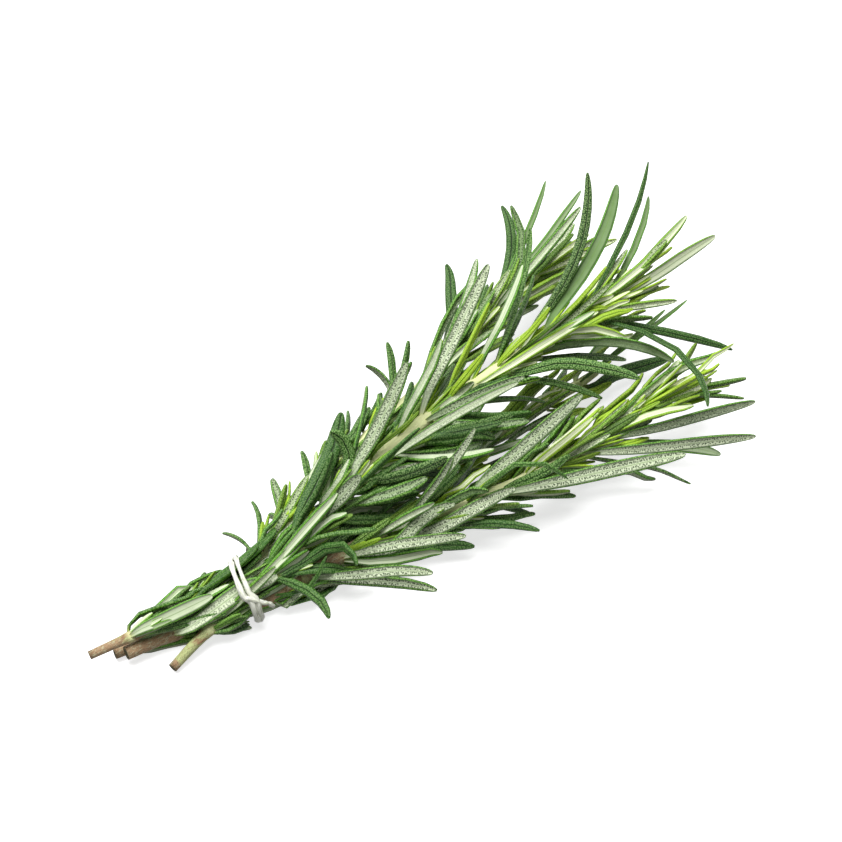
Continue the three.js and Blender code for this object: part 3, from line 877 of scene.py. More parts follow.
@dataclass
class LeafPattern:
    """One straight leaf, a unit long on X and two units wide, of which every leaf is a bent copy."""

    form: Form
    upper: bpy.types.Material
    under: bpy.types.Material
    stations: tuple[float, ...] = (0.0, 0.1, 0.3, 0.54, 0.76, 0.9, 0.97, 1.0)
    widths: tuple[float, ...] = (0.26, 0.48, 0.86, 1.0, 0.95, 0.74, 0.48, 0.22)
    map_step: float = 97.0
    shape: bpy.types.Object = field(init=False)

    def model(self) -> bpy.types.Object:
        """Models the leaf.

        Returns:
            The pattern's object.
        """
        columns = self.form.value.columns()
        sides = 2 * (len(columns) - 1)
        work = Workpiece.rod(f"{self.form.name.lower()}_leaf", sides)
        for x in self.stations[1:-1]:
            work.cut(x)
        for index, (across, up) in enumerate(columns):
            angle = math.tau * index / sides
            self._shape_column(work, math.sin(angle), math.cos(angle), across, up)
        self._dress(work)
        for x, width in zip(self.stations, self.widths):
            work.pick_corners(lambda place, x=x: close_to(place.x, x))
            work.resize((1, width, 0.35 + 0.65 * width), (x, 0, 0))
        self.shape = work.done(subdivisions=int(self.form is Form.BROAD))
        return self.shape

    def _shape_column(self, work: Workpiece, y: float, z: float, across: float, up: float) -> None:
        """Moves one line of corners and its mirror image to their place in the section.

        Args:
            work: The leaf as it stands.
            y: How far across the line is.
            z: How high the line is.
            across: How far across it goes.
            up: How high it goes.
        """
        work.pick_corners(lambda place: close_to(abs(place.y), abs(y)) and close_to(place.z, z))
        if across:
            work.resize((1, across / y, 1), (0, 0, 0))
        work.move((0, 0, up - z))

    def _dress(self, work: Workpiece) -> None:
        """Gives the hollow underside its own finish and each corner its share along and across the leaf.

        Args:
            work: The leaf as it stands, still straight and of even width.
        """
        mesh = work.shape.data
        mesh.materials.append(self.upper)
        mesh.materials.append(self.under)
        lip = self.form.value.lip[0] + WELD
        work.pick_faces(lambda face: all(
            corner.co.z < 0 and abs(corner.co.y) < lip for corner in face.verts))
        work.shape.active_material_index = 1
        bpy.ops.object.material_slot_assign()
        bpy.ops.object.mode_set(mode="OBJECT")
        spots = places(mesh)
        numbers(mesh, "along", spots[:, 0])
        numbers(mesh, "across", spots[:, 1])
        numbers(mesh, "inset", abs(spots[:, 1]) / self.form.value.lip[0])
        numbers(mesh, "under", (spots[:, 2] < -0.25).astype(float))
        bpy.ops.object.mode_set(mode="EDIT")

    def copy(self, leaf: "Leaf") -> bpy.types.Object:
        """Copies the pattern and bends the copy along a leaf's line.

        Args:
            leaf: The leaf.

        Returns:
            The copy.
        """
        mesh = self.shape.data.copy()
        made = bpy.data.objects.new(self.shape.name, mesh)
        bpy.context.collection.objects.link(made)
        straight = places(mesh)
        sized = straight * (1, leaf.half_width, leaf.half_width)
        move_to(mesh, leaf.spine.lay(turned(sized, leaf.roll + leaf.twist * straight[:, 0])))
        for name in ("age", "tone", "speckle"):
            numbers(mesh, name, np.full(len(straight), getattr(leaf, name)))
        reach = straight[:, 0] * leaf.spine.length
        start = self.map_step * leaf.tone
        map_flat(mesh, LEAF_MAP, np.column_stack((sized[:, 1], reach)) / MM + start)
        return made


def turned(points: np.ndarray, angles: np.ndarray) -> np.ndarray:
    """Turns points about the X axis, each by its own angle.

    Args:
        points: The points.
        angles: The angle for each.

    Returns:
        The turned points.
    """
    x, y, z = points.T
    cosine, sine = np.cos(angles), np.sin(angles)
    return np.column_stack((x, y * cosine - z * sine, y * sine + z * cosine))


@dataclass
class Leaf:
    """One leaf: the line that it follows and how it looks."""

    form: Form
    spine: Spine
    half_width: float
    age: float = 0.0
    tone: float = 0.0
    twist: float = 0.0
    roll: float = 0.0
    speckle: float = 0.0

    @classmethod
    def from_rings(cls, tip: Vector, rings: list[list[Vector]], base: Vector, tone: float) -> "Leaf":
        """Reads a leaf from its solid.

        Args:
            tip: The solid's tip.
            rings: The solid's rings of three corners, from the tip down.
            base: Where the leaf leaves its stem.
            tone: A number from 0 to 1 that varies its colour.

        Returns:
            The leaf.
        """
        line, ups, widths = [tip], [], []
        for ring in rings:
            first, second, keel = across_and_keel(ring)
            crown = (first + second) / 2
            ups.append((crown - keel).normalized())
            line.append(crown.lerp(keel, LINE_DEPTH))
            widths.append((first - second).length)
        line.append(base)
        ups = [ups[0]] + ups + [ups[-1]]
        width = max(widths)
        spine = Spine(line[::-1], ups[::-1])
        if width < YOUNG_WIDTH:
            return cls(Form.YOUNG, spine, width * 0.42, age=0.8, tone=tone)
        if width > BROAD_WIDTH:
            return cls(Form.BROAD, spine, width * 0.48, tone=tone, speckle=0.8)
        return cls(Form.ROLLED, spine, width * 0.42, tone=tone, speckle=tone)

    def put_on(self, look: "Look") -> None:
        """Gives the leaf a look of its own.

        Args:
            look: The look.
        """
        self.form = look.form or self.form
        self.roll = self._square_on() + look.side.value + look.lean
        self.tone, self.age, self.speckle = look.tone, look.age, look.speckle
        self.half_width *= look.breadth
        if look.arch:
            self.spine = self.spine.arched(look.arch)

    def _square_on(self) -> float:
        """Finds the roll that turns the middle of the upper face to the bunch's open side.

        Returns:
            The angle.
        """
        middle_share = 0.6
        _, _, across, up = (rows[0] for rows in self.spine.at(np.array([middle_share])))
        return math.atan2(-float(across @ OPEN_SIDE), float(up @ OPEN_SIDE)) - self.twist * middle_share


class Side(Enum):
    """The side of a leaf that shows, and how far it is rolled over for that."""

    UPPER = 0.0
    UNDER = math.pi


@dataclass(frozen=True)
class Look:
    """What sets one large leaf apart: the side that shows, its colour and its glands."""

    side: Side
    lean: float = 0.0
    tone: float = 0.3
    age: float = 0.0
    # How dense its glands are; on the upper face it also sets how strongly the beads stand out, with their
    # painted highlight and shade.
    speckle: float = 0.0
    breadth: float = 1.0
    arch: float = 0.0
    form: Form | None = None


# The large leaves with a look of their own, by sprig, then by whorl and place in the order of length.
LOOKS = {
    "a": {
        (1, 1): Look(Side.UPPER, tone=0.1, speckle=0.2, breadth=0.7, form=Form.YOUNG),
        (2, 0): Look(Side.UPPER, tone=0.15),
        (2, 1): Look(Side.UNDER, tone=0.0),
        (2, 2): Look(Side.UPPER, lean=-0.5, tone=0.2),
        (2, 4): Look(Side.UPPER, tone=0.3, speckle=0.2),
        (3, 0): Look(Side.UPPER, tone=0.1, breadth=1.25),
        (4, 0): Look(Side.UPPER, lean=1.0, tone=0.3, breadth=0.75),
        (4, 1): Look(Side.UNDER, tone=0.3),
        (4, 2): Look(Side.UNDER, tone=0.1),
        (4, 5): Look(Side.UNDER, tone=0.5, speckle=0.9, breadth=1.2),
        (5, 0): Look(Side.UNDER, lean=-0.3, tone=0.5, speckle=0.9, breadth=1.2),
        (5, 1): Look(Side.UNDER, lean=0.4, tone=0.8, speckle=0.3),
        (5, 3): Look(Side.UPPER, tone=0.2),
        (5, 6): Look(Side.UPPER, tone=1.0, speckle=0.9, breadth=1.15),
        (6, 0): Look(Side.UNDER, tone=0.3, speckle=0.3, form=Form.BROAD),
        (6, 2): Look(Side.UPPER, tone=0.1),
        (6, 3): Look(Side.UPPER, lean=0.4, tone=0.6),
        (6, 4): Look(Side.UPPER, tone=0.6, age=0.4, breadth=0.45),
        (7, 3): Look(Side.UPPER, tone=0.2, breadth=1.2),
        (8, 0): Look(Side.UNDER, tone=0.2, speckle=1.0, breadth=1.1),
        (10, 0): Look(Side.UNDER, age=0.6),
        (11, 1): Look(Side.UPPER, tone=1.0, speckle=1.0, form=Form.BROAD),
        (12, 0): Look(Side.UPPER, lean=0.3, tone=0.2, speckle=1.0, breadth=0.85),
        (12, 1): Look(Side.UNDER, lean=0.5, tone=0.8, speckle=0.3),
        (13, 0): Look(Side.UNDER, tone=1.0),
        (15, 0): Look(Side.UPPER, lean=-0.7, tone=0.0),
        (15, 1): Look(Side.UPPER, lean=0.3, tone=0.1, breadth=0.7),
        (15, 2): Look(Side.UPPER, tone=0.0),
        (15, 3): Look(Side.UNDER, tone=0.2, age=0.3, breadth=1.1),
        (16, 0): Look(Side.UNDER, lean=0.3, tone=0.3, age=0.25),
        (16, 1): Look(Side.UNDER, tone=0.9, breadth=0.85),
    },
    "b": {
        (1, 0): Look(Side.UNDER, tone=0.2, speckle=0.45, breadth=1.15),
        (2, 0): Look(Side.UNDER, tone=0.4, speckle=0.6),
        (2, 1): Look(Side.UPPER, tone=0.3, breadth=0.5),
        (2, 2): Look(Side.UPPER, tone=0.3, breadth=0.4),
        (3, 0): Look(Side.UNDER, tone=0.25, speckle=0.9),
        (3, 1): Look(Side.UNDER, tone=0.3, speckle=0.9),
        (3, 2): Look(Side.UNDER, tone=0.3, speckle=1.0, breadth=1.25, form=Form.BROAD),
        (3, 5): Look(Side.UPPER, tone=0.3, breadth=0.5),
        (4, 0): Look(Side.UNDER, tone=0.3, speckle=1.0),
        (4, 1): Look(Side.UNDER, tone=0.5, speckle=0.7),
        (4, 2): Look(Side.UNDER, tone=0.3),
        (5, 0): Look(Side.UNDER, tone=0.3, speckle=1.0),
        (6, 0): Look(Side.UNDER, tone=0.3, speckle=0.9, form=Form.BROAD),
        (6, 1): Look(Side.UNDER, tone=0.4, speckle=0.7),
        (7, 1): Look(Side.UPPER, tone=0.1),
        (8, 0): Look(Side.UNDER, tone=0.5, speckle=1.0),
        (8, 1): Look(Side.UPPER, tone=0.9, speckle=0.5, breadth=0.5, arch=7.5 * MM),
        (8, 2): Look(Side.UPPER, tone=0.1, breadth=0.8),
        (9, 0): Look(Side.UNDER, tone=0.4, speckle=1.0),
        (12, 0): Look(Side.UNDER, lean=0.4, tone=0.35, speckle=0.6),
        (13, 0): Look(Side.UNDER, lean=0.6, tone=0.5, speckle=0.5),
        (13, 1): Look(Side.UNDER, tone=0.7, speckle=0.2),
    },
    "c": {
        (1, 0): Look(Side.UNDER, tone=0.45),
        (1, 1): Look(Side.UNDER, tone=0.5, speckle=0.1, breadth=1.1),
        (10, 0): Look(Side.UPPER, tone=0.1),
        (12, 0): Look(Side.UNDER, tone=0.9, breadth=0.7),
        (12, 1): Look(Side.UPPER, tone=0.2),
        (12, 2): Look(Side.UNDER, tone=0.3, speckle=0.3),
        (13, 0): Look(Side.UNDER, tone=0.8, breadth=0.8),
    },
    "d": {
        (9, 0): Look(Side.UNDER, lean=-0.6, tone=1.0, breadth=0.75),
        (9, 1): Look(Side.UNDER, tone=1.0, breadth=0.7),
        (9, 2): Look(Side.UPPER, tone=0.0, breadth=1.1),
        (9, 3): Look(Side.UNDER, tone=0.8, speckle=0.2),
    },
}


def across_and_keel(ring: list[Vector]) -> tuple[Vector, Vector, Vector]:
    """Sorts a leaf's ring of three corners.

    Args:
        ring: The three corners.

    Returns:
        The two edge corners, which are furthest apart, and the corner of the keel.
    """
    keel = min(ring, key=lambda corner: sum((corner - other).length for other in ring))
    first, second = (corner for corner in ring if corner is not keel)
    return first, second, keel


@dataclass
class Stem:
    """One stem, from its cut end to the bud."""

    letter: str
    habit: Habit
    bark: bpy.types.Material
    cut_face: bpy.types.Material
    sides: int = 14
    steps_per_mm: float = 0.7
    cut_reach: float = 0.15
    thick_from: float = 0.4
    thickening: float = 0.4
    swelling: float = 0.2
    spine: Spine = field(init=False)
    girths: np.ndarray = field(init=False)

    def __post_init__(self) -> None:
        """Reads the stem's line and girth from its solid."""
        graph = SolidGraph(f"sprig_{self.letter}_stem")
        bud, rings = max(graph.tips(STEM_RING), key=lambda found: len(found[1]))
        line = [middle(ring) for ring in rings]
        radii = [sum((corner - centre).length for corner in ring) / len(ring)
                 for ring, centre in zip(rings, line)]
        self.spine = Spine(line[::-1] + [bud], [Vector((0, 0, 1))] * (len(line) + 1))
        self.girths = np.array(radii[::-1] + [radii[0] * 0.5])

    def girth(self, shares: np.ndarray) -> np.ndarray:
        """Finds the stem's radius at shares of its length."""
        return np.interp(shares * self.spine.length, self.spine.marks, self.girths)

    def lowest_share(self, corners: np.ndarray, skin: float) -> float:
        """Finds how far along the stem the corners that hug it begin.

        Args:
            corners: Corners of a whorl.
            skin: How far from the stem's skin a corner may be.

        Returns:
            The share of the stem's length.
        """
        shares = np.linspace(0, 1, 800)
        line = self.spine.at(shares)[0]
        gaps = np.linalg.norm(corners[:, None, :] - line[None, :, :], axis=2)
        nearest = gaps.argmin(axis=1)
        hugging = gaps.min(axis=1) < self.girth(shares[nearest]) + skin
        return float(shares[nearest[hugging]].min())

    def sprout(self, share: float, turn: float, spread: float, curl: float, length: float) -> Spine:
        """Grows the line of a small leaf out of the stem.

        Args:
            share: Where it stands, as a share of the stem's length.
            turn: Its way round the stem.
            spread: Its angle from the stem at the base.
            curl: How much that angle changes up to the tip.
            length: Its length.

        Returns:
            The leaf's line.
        """
        found = self.spine.at(np.array([share]))
        centre, along, across, up = (Vector(rows[0]) for rows in found)
        out = across * math.cos(turn) + up * math.sin(turn)
        line = [centre + out * float(self.girth(np.array([share]))[0]) * ROOT_SHARE]
        ups = []
        steps = 4
        for step in range(steps + 1):
            angle = spread + curl * step / steps
            way = along * math.cos(angle) + out * math.sin(angle)
            ups.append(along * math.sin(angle) - out * math.cos(angle))
            if step < steps:
                line.append(line[-1] + way * length / steps)
        return Spine(line, ups)

    def build(self, nodes: list[float]) -> bpy.types.Object:
        """Models the stem straight and lays it along its line.

        Args:
            nodes: Where its leaves stand, as shares of its length.

        Returns:
            The piece.
        """
        work = Workpiece.rod(f"sprig_{self.letter}_stem_skin", self.sides)
        work.divide(int(self.spine.length / MM * self.steps_per_mm))
        work.pick_faces(lambda face: face.normal.x < -0.9)
        bpy.ops.mesh.inset(thickness=0.3)
        work.move((0.002, 0, 0))
        piece = work.done()
        piece.data.materials.append(self.bark)
        piece.data.materials.append(self.cut_face)
        for face in piece.data.polygons:
            face.material_index = int(face.normal.x < -0.5)
        straight = places(piece.data)
        share = straight[:, 0]
        swelling = sum(np.exp(-((share - node) * self.spine.length / MM) ** 2) for node in nodes)
        numbers(piece.data, "along", share)
        numbers(piece.data, "swelling", swelling)
        numbers(piece.data, "woody", 1 - share * self.spine.length / self.habit.woody_length)
        cut = self.habit.cut_girth
        girth = self.girth(share)
        girth *= 1 + self.thickening * np.clip(share / self.thick_from, 0, 1) + self.swelling * swelling
        girth *= cut + (1 - cut) * np.clip(share / self.cut_reach, 0, 1)
        move_to(piece.data, self.spine.lay(straight * np.column_stack((np.ones_like(girth), girth, girth))))
        declare(piece, Slot.STEM, f"sprig_{self.letter}_stem")
        return piece


def lay_leaves(leaves: list[Leaf], patterns: dict[Form, LeafPattern], name: str,
               *nodes: str) -> bpy.types.Object:
    """Copies a leaf pattern along each leaf's line and joins the copies.

    Args:
        leaves: The leaves.
        patterns: The pattern of each form.
        name: The piece's name.
        *nodes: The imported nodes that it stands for.

    Returns:
        The piece.
    """
    piece = join([patterns[leaf.form].copy(leaf) for leaf in leaves], name)
    declare(piece, Slot.LEAF, *nodes)
    return piece


@dataclass
class Whorl:
    """The leaves that stand together on one node of a stem."""

    node: str
    stem: Stem
    collar_skin: float = 0.9 * MM
    half_collar: float = 0.8 * MM
    shortest_tip: float = 0.4 * MM
    lone_tip: float = 1.2 * MM
    rings_read: int = 4
    ripe_from: float = 0.7
    young_below: float = 0.3
    tender_length: float = 17 * MM
    mature_length: float = 29 * MM
    number: int = field(init=False)
    share: float = field(init=False)
    ripe: float = field(init=False)
    young_share: float = field(init=False)
    leaves: list[Leaf] = field(init=False)

    def __post_init__(self) -> None:
        """Reads the leaves from the whorl's solid."""
        graph = SolidGraph(self.node)
        self.number = int(self.node.split("_")[-1])
        self.draws = random.Random(self.node)
        self.share = self.stem.lowest_share(graph.corners, self.collar_skin)
        self.share += self.half_collar / self.stem.spine.length
        self.ripe = max((self.share - self.ripe_from) / (1 - self.ripe_from), 0.0)
        self.young_share = min(self.share / self.young_below, 1.0)
        found = sorted(graph.tips(LEAF_RING), key=lambda tip: tuple(round(value, 5) for value in tip[0]))
        self.leaves = [self._leaf(tip, rings[:self.rings_read])
                       for tip, rings in found if self._is_leaf(tip, rings)]

    def _is_leaf(self, tip: Vector, rings: list[list[Vector]]) -> bool:
        """Tells a leaf's tip from a corner where two leaves cross."""
        step = (middle(rings[0]) - tip).length
        return step > self.shortest_tip and len(rings) >= 2 or step > self.lone_tip

    def _leaf(self, tip: Vector, rings: list[list[Vector]]) -> Leaf:
        """Reads one leaf and roots it in the stem.

        Args:
            tip: The solid leaf's tip.
            rings: Its rings of corners, from the tip down.

        Returns:
            The leaf.
        """
        here = np.array([self.share])
        centre, along, _, _ = (Vector(found[0]) for found in self.stem.spine.at(here))
        out = middle(rings[-1]) - centre
        out = (out - along * out.dot(along)).normalized()
        base = centre + out * float(self.stem.girth(here)[0]) * ROOT_SHARE
        leaf = Leaf.from_rings(tip, rings, base, self.draws.random())
        leaf.age *= self.young_share
        leaf.twist = self.draws.uniform(-0.5, 0.5)
        if leaf.form is not Form.BROAD:
            leaf.roll = self._choose_roll()
            leaf.half_width *= 1 - 0.2 * self.ripe
        return leaf

    def dress(self) -> None:
        """Gives the leaves near the bud their age and the largest leaves their own looks."""
        for leaf in self.leaves:
            if leaf.form is Form.ROLLED and self.ripe > 0:
                long = (leaf.spine.length - self.tender_length) / (self.mature_length - self.tender_length)
                youth = min(self.ripe + 0.45, 1.0) * self.draws.uniform(0.5, 1.0)
                leaf.age = max(0.0, youth - max(long, 0.0))
        looks = LOOKS[self.stem.letter]
        for rank, leaf in enumerate(sorted(self.leaves, key=lambda leaf: -leaf.spine.length)):
            if (self.number, rank) in looks:
                leaf.put_on(looks[self.number, rank])

    def grow_between(self) -> None:
        """Adds the young leaves in the axils, a few short grown ones above them and the side leaves."""
        if self.share > self.stem.habit.young_until:
            return
        pair = sorted(self.leaves, key=lambda leaf: leaf.half_width * leaf.spine.length)[-2:]
        for leaf in pair:
            turn = self._turn_of(leaf)
            for side in (-1.0, -0.45, 0.0, 0.45, 1.0):
                self._add_shoot(turn + side * self.draws.uniform(0.5, 0.9))
            for side in (-1, 1):
                self._add_filler(turn + side * self.draws.uniform(0.8, 1.6))
        first, last = self.stem.habit.side_leaves
        if first < self.share < last:
            for _ in range(3):
                self._add_side_leaf()

    def _turn_of(self, leaf: Leaf) -> float:
        """Finds a leaf's way round the stem.

        Args:
            leaf: The leaf.

        Returns:
            The angle.
        """
        found = self.stem.spine.at(np.array([self.share]))
        centre, _, across, up = (rows[0] for rows in found)
        out = leaf.spine.points[1] - centre
        return math.atan2(float(out @ up), float(out @ across))

    def _is_bare(self, turn: float) -> bool:
        """Tells whether a way round the stem is left open, so that the stem shows."""
        return self.number in self.stem.habit.bare_nodes and math.cos(turn - OPEN_TURN) > 0.5

    def _add_shoot(self, turn: float) -> None:
        """Adds one young leaf in an axil, longer near the bud.

        Args:
            turn: Its way round the stem.
        """
        ripe = self.ripe
        length = self.draws.uniform(5 + 2 * ripe, 9 + 5 * ripe) * MM
        spread = self.draws.uniform(0.12, 0.5 - 0.2 * ripe)
        curl = self.draws.uniform(-0.3, 0.3)
        half_width = self.draws.uniform(0.4, 0.6) * MM
        age = self.draws.uniform(0.35 + 0.35 * ripe, 1.0) * self.young_share
        roll = self._choose_roll()
        tone = self.draws.random()
        if not self._is_bare(turn):
            spine = self.stem.sprout(self.share, turn, spread, curl, length)
            self.leaves.append(Leaf(Form.YOUNG, spine, half_width, age, tone, roll=roll))

    def _add_filler(self, turn: float) -> None:
        """Adds one short grown leaf just above the node.

        Args:
            turn: Its way round the stem.
        """
        length = self.draws.uniform(9, 16) * MM
        spread = self.draws.uniform(0.15, 0.45)
        curl = self.draws.uniform(-0.2, 0.3)
        half_width = self.draws.uniform(0.7, 0.95) * MM
        roll = self._choose_roll()
        tone = self.draws.random()
        share = min(self.share + self.draws.uniform(0.5, 3.0) * MM / self.stem.spine.length, 0.96)
        if not self._is_bare(turn):
            spine = self.stem.sprout(share, turn, spread, curl, length)
            age = self.draws.uniform(0, 0.35) * self.young_share
            self.leaves.append(Leaf(Form.ROLLED, spine, half_width, age, tone, roll=roll, speckle=tone))

    def _add_side_leaf(self) -> None:
        """Adds one grown leaf that stands out towards the next sprig."""
        share = self.share + self.draws.uniform(0.0, 5.0) * MM / self.stem.spine.length
        spine = self.stem.sprout(share, self.draws.uniform(2.9, 4.1), self.draws.uniform(0.7, 1.0),
                                 self.draws.uniform(-0.7, -0.1), self.draws.uniform(12, 18) * MM)
        leaf = Leaf(Form.ROLLED, spine, self.draws.uniform(0.95, 1.25) * MM)
        side = self.draws.choice((Side.UPPER, Side.UNDER))
        leaf.put_on(Look(side, self.draws.uniform(-0.9, 0.9), self.draws.uniform(0.1, 0.8),
                         speckle=self.draws.random()))
        self.leaves.append(leaf)

    def _choose_roll(self) -> float:
        """Draws how far a leaf is rolled over: some show the face and some the back."""
        over = self.draws.choice((0.0, 0.0, math.pi, 1.1, -1.1)) * (1 - 0.8 * self.ripe)
        return over + self.draws.uniform(-0.4, 0.4)

    def build(self, patterns: dict[Form, LeafPattern]) -> bpy.types.Object:
        """Copies a leaf pattern along each leaf's line and joins the copies.

        Args:
            patterns: The pattern of each form.

        Returns:
            The piece.
        """
        return lay_leaves(self.leaves, patterns, self.node.replace("whorl", "leaves"), self.node)


@dataclass
class LowLeaves:
    """The leaves that lie close along one stem below its first full whorls, through the tie."""

    stem: Stem
    spacing: float = 3.2 * MM

    def build(self, patterns: dict[Form, LeafPattern]) -> bpy.types.Object:
        """Grows the leaves up the stem, pair after pair.

        Args:
            patterns: The pattern of each form.

        Returns:
            The piece.
        """
        draws = random.Random(f"low {self.stem.letter}")
        first, last = self.stem.habit.low_leaves
        leaves = []
        for index in range(round((last - first) / self.spacing)):
            share = (first + index * self.spacing) / self.stem.spine.length
            for side in (0.0, math.pi):
                turn = index * math.pi / 2 + side + draws.uniform(-0.5, 0.5)
                spine = self.stem.sprout(share, turn, draws.uniform(0.10, 0.26), draws.uniform(-0.2, 0.1),
                                         draws.uniform(9, 17) * MM)
                leaves.append(Leaf(Form.ROLLED, spine, draws.uniform(0.75, 1.15) * MM,
                                   tone=draws.uniform(0, 0.7), roll=draws.uniform(-0.5, 0.5)))
        return lay_leaves(leaves, patterns, f"sprig_{self.stem.letter}_low_leaves")


# ---------------------------------------------------------------- raffia


@dataclass
class Raffia:
    """The strip of raffia that ties the bunch: two strands round it and a short loose end."""

    finish: bpy.types.Material
    sides: int = 20
    steps: int = 72
    thickness: float = 0.62 * MM
    readings: int = 24
    reading_reach: float = 0.2
    end_turn: float = math.radians(150)
    # The loose end's line, in millimetres from where it leaves the loop.
    end_course: tuple[tuple[float, float, float], ...] = (
        (-0.8, 0.5, 0.9), (0.0, 0.0, 0.3), (1.2, -0.6, -0.8), (2.6, -0.9, -2.0), (3.4, -0.9, -3.2))

    def __post_init__(self) -> None:
        """Reads the middle line of the loop from its solid, at even angles round it."""
        corners = SolidGraph("raffia_tie").corners
        low, high = (np.array(corner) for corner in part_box("raffia_tie"))
        self.centre = (low + high) / 2
        around = np.arctan2(corners[:, 2] - self.centre[2], corners[:, 1] - self.centre[1])
        self.angles = np.linspace(-math.pi, math.pi, self.readings + 1)[:-1]
        self.loop = []
        for angle in self.angles:
            gap = np.abs(np.angle(np.exp(1j * (around - angle))))
            self.loop.append(np.median(corners[gap < self.reading_reach], axis=0))

    def spot(self, turn: float) -> np.ndarray:
        """Finds the loop's middle line at one way round it."""
        columns = np.array(self.loop).T
        return np.array([np.interp(turn, self.angles, column, period=math.tau) for column in columns])

    def build(self) -> bpy.types.Object:
        """Models the strands and joins them.

        Returns:
            The piece.
        """
        strands = [
            self._strand("wide_strand", self._turn(-0.4 * MM, 0.1 * MM, 0.0), 0.5 * MM),
            self._strand("thin_strand", self._turn(0.4 * MM, 0.5 * MM, 0.15 * MM), 0.42 * MM),
            self._strand("loose_end", self._end(), 0.40 * MM),
        ]
        piece = join(strands, "raffia_strands")
        declare(piece, Slot.RAFFIA, "raffia_tie")
        return piece

    def _turn(self, shift: float, climb: float, out: float) -> Spine:
        """Finds the line of one turn round the bunch.

        Args:
            shift: How far along the bunch it is from the loop's middle line.
            climb: How much further along it is on top.
            out: How far outside the loop it lies.

        Returns:
            The closed line, which ends where it starts.
        """
        line, ups = [], []
        for angle, spot in zip(self.angles, self.loop):
            way = unit(np.array([0.0, spot[1] - self.centre[1], spot[2] - self.centre[2]]))
            moved = spot + way * out + np.array([shift + climb * math.sin(angle), 0.0, 0.0])
            line.append(moved)
            ups.append(way)
        return Spine(line + line[:2], ups + ups[:2])

    def _end(self) -> Spine:
        """Finds the line of the loose end, which leaves the loop and lies towards the tips.

        Returns:
            The line.
        """
        start = self.loop[int(np.argmin(np.abs(self.angles - self.end_turn)))]
        line = [start + np.array(step) * MM for step in self.end_course]
        return Spine(line, [np.array([0.4, -0.5, 0.75])] * len(line))

    def _strand(self, name: str, spine: Spine, half_width: float) -> bpy.types.Object:
        """Models one flat, grooved strand straight and lays it along its line.

        Args:
            name: Its name.
            spine: Its line.
            half_width: Half of its width.

        Returns:
            The strand.
        """
        work = Workpiece.rod(name, self.sides)
        work.divide(self.steps)
        piece = work.done()
        piece.data.materials.append(self.finish)
        straight = places(piece.data)
        x, y, z = straight.T
        angle = np.arctan2(y, z)
        grooves = 0.10 * np.cos(angle * self.sides / 2) + 0.06 * np.sin(9 * x + 3 * angle)
        neck = 1 - 0.3 * np.exp(-((x - 0.72) / 0.05) ** 2)
        girth = (1 + grooves) * neck
        sized = np.column_stack((x, y * half_width * girth, z * self.thickness / 2 * girth))
        move_to(piece.data, spine.lay(turned(sized, 0.5 * np.sin(17 * x))))
        spread = np.column_stack((angle * half_width / MM * 2, x * spine.length / MM))
        map_flat(piece.data, FIBRE_MAP, spread)
        return piece


@dataclass
class HeldLeaves:
    """The leaves that fill the loop of raffia on the side where no stem does."""

    raffia: Raffia
    count: int = 10
    first_turn: float = math.radians(-60)
    last_turn: float = math.radians(72)
    # For each point of a leaf's line: millimetres past the loop, and its share of the way out to the loop.
    course: tuple[tuple[float, float], ...] = (
        (-11, 0.35), (-6.5, 0.66), (-3, 0.82), (0, 0.86), (4, 0.95), (8, 1.1))
    lean: float = 0.2

    def build(self, patterns: dict[Form, LeafPattern]) -> bpy.types.Object:
        """Lays the leaves side by side under the raffia.

        Args:
            patterns: The pattern of each form.

        Returns:
            The piece.
        """
        draws = random.Random("held leaves")
        leaves = []
        for index in range(self.count):
            turn = self.first_turn + (self.last_turn - self.first_turn) * index / (self.count - 1)
            spot = self.raffia.spot(turn + draws.uniform(-0.08, 0.08))
            start, reach = draws.uniform(-3, 3), draws.uniform(0.8, 1.1)
            arm = (spot - self.raffia.centre) * (0, 1, 1)
            line = []
            for ahead, out in self.course:
                ahead = start + ahead * reach
                step = np.array([ahead, -self.lean * min(ahead, 0.0), 0.0]) * MM
                line.append(spot + step + arm * (out - 1))
            spine = Spine(line, [unit(arm)] * len(line))
            leaves.append(Leaf(Form.ROLLED, spine, draws.uniform(0.8, 1.1) * MM,
                               tone=draws.uniform(0, 0.5), roll=draws.uniform(-0.5, 0.5)))
        return lay_leaves(leaves, patterns, "held_leaves")


# ---------------------------------------------------------------- studio


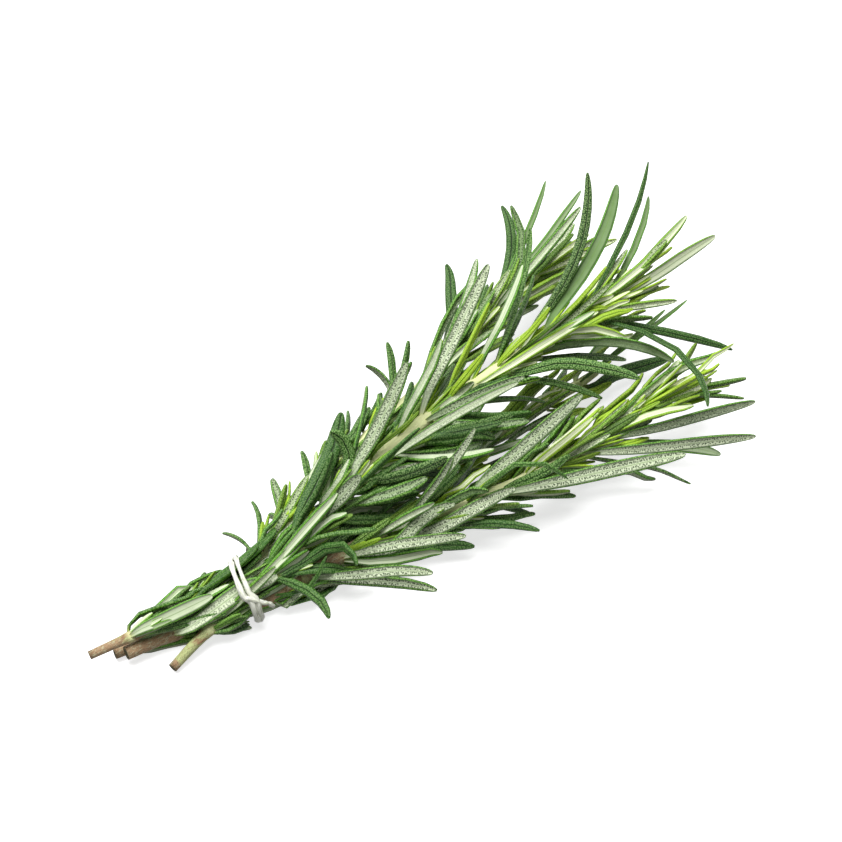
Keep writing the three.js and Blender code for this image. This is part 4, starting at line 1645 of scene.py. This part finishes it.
@dataclass
class Studio:
    """The floor, the light and the camera."""

    azimuth: float = -44.0
    elevation: float = 45.0
    lens: float = 100.0
    distance: float = 0.403
    aim_from_tie: tuple[float, float, float] = (0.0446, 0.0048, 0.0047)
    floor_size: float = 4.0
    paper: Colour = (0.20, 0.20, 0.20, 1)
    seen_paper: Colour = (0.60, 0.60, 0.60, 1)
    glow: float = 0.70
    sun: float = 4.3
    sun_breadth: float = math.radians(44)
    sun_side: tuple[float, float, float] = (-0.08, 0.12, 1.0)
    sky: float = 0.21

    def build(self) -> None:
        """Sets up the whole studio."""
        self._floor()
        self._lights()
        self._camera()

    def _floor(self) -> None:
        """Lays the floor at the bunch's lowest point."""
        deselect()
        bpy.ops.mesh.primitive_plane_add(size=self.floor_size, location=(0, 0, cad_box[0][2]))
        floor = bpy.context.object
        floor.name = "floor"
        board = Board("floor_paper")
        paper = board.node("ShaderNodeBsdfDiffuse", inputs={"Color": self.paper})
        glow = board.node("ShaderNodeEmission", inputs={"Color": (1, 1, 1, 1), "Strength": self.glow})
        bright = board.node("ShaderNodeBsdfDiffuse", inputs={"Color": self.seen_paper})
        lit = board.node("ShaderNodeAddShader", inputs={0: bright, 1: glow})
        seen = board.node("ShaderNodeMixShader", inputs={0: seen_directly(board), 1: paper, 2: lit})
        floor.data.materials.append(board.close(seen))

    def _lights(self) -> None:
        """Hangs one broad soft sun and an even sky."""
        lamp = bpy.data.lights.new("softbox", "SUN")
        lamp.energy = self.sun
        lamp.angle = self.sun_breadth
        sun = bpy.data.objects.new("softbox", lamp)
        sun.rotation_euler = Vector(self.sun_side).to_track_quat("Z", "Y").to_euler()
        bpy.context.collection.objects.link(sun)
        world = bpy.data.worlds.new("studio")
        bpy.context.scene.world = world
        world.use_nodes = True
        world.node_tree.nodes.clear()
        board = Board.over(world.node_tree)
        sky = board.node("ShaderNodeBackground", inputs={"Color": (1, 1, 1, 1), "Strength": self.sky})
        white = board.node("ShaderNodeBackground", inputs={"Color": (1, 1, 1, 1), "Strength": 1.0})
        seen = board.node("ShaderNodeMixShader", inputs={0: seen_directly(board), 1: sky, 2: white})
        board.node("ShaderNodeOutputWorld", inputs={"Surface": seen}, output=None)

    def _camera(self) -> None:
        """Aims the camera."""
        turn, rise = math.radians(self.azimuth), math.radians(self.elevation)
        back = Vector((math.sin(turn) * math.cos(rise), -math.cos(turn) * math.cos(rise), math.sin(rise)))
        low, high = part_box("raffia_tie")
        aim = (Vector(low) + Vector(high)) / 2 + Vector(self.aim_from_tie)
        data = bpy.data.cameras.new("camera")
        data.lens = self.lens
        camera = bpy.data.objects.new("camera", data)
        camera.location = aim + back * self.distance
        camera.rotation_euler = back.to_track_quat("Z", "Y").to_euler()
        bpy.context.collection.objects.link(camera)
        bpy.context.scene.camera = camera


def seen_directly(board: Board) -> Socket:
    """Tells rays that show the backdrop to the eye from rays that light the bunch.

    Args:
        board: The board that the backdrop's shader is on.

    Returns:
        1 for a ray that shows it and 0 for one that lights.
    """
    names = ("Is Camera Ray", "Is Glossy Ray", "Is Transmission Ray")
    camera, glossy, through = (board.node("ShaderNodeLightPath", output=name) for name in names)
    return camera + glossy + through


def report(piece: bpy.types.Object) -> None:
    """Logs a finished piece."""
    log.info("%s: %d faces", piece.name, len(piece.data.polygons))


def main() -> None:
    """Builds the bunch piece by piece."""
    logging.basicConfig(level=logging.INFO, format="%(message)s")
    bpy.context.scene.view_settings.view_transform = "Standard"
    Studio().build()
    upper, under = UpperLeafFinish().material(), UndersideFinish().material()
    patterns = {form: LeafPattern(form, upper, under) for form in Form}
    for pattern in patterns.values():
        pattern.model()
    bark, cut_face = BarkFinish().material(), CutFaceFinish().material()
    stems = {letter: Stem(letter, habit, bark, cut_face) for letter, habit in HABITS.items()}
    nodes = sorted(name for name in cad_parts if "whorl" in name)
    whorls = [Whorl(node, stems[node.split("_")[1]]) for node in nodes]
    for whorl in whorls:
        whorl.dress()
        whorl.grow_between()
        report(whorl.build(patterns))
    for stem in stems.values():
        report(stem.build([whorl.share for whorl in whorls if whorl.stem is stem]))
    for stem in stems.values():
        report(LowLeaves(stem).build(patterns))
    raffia = Raffia(RaffiaFinish().material())
    report(raffia.build())
    report(HeldLeaves(raffia).build(patterns))
    for pattern in patterns.values():
        bpy.data.objects.remove(pattern.shape)


if __name__ == "__main__":
    main()
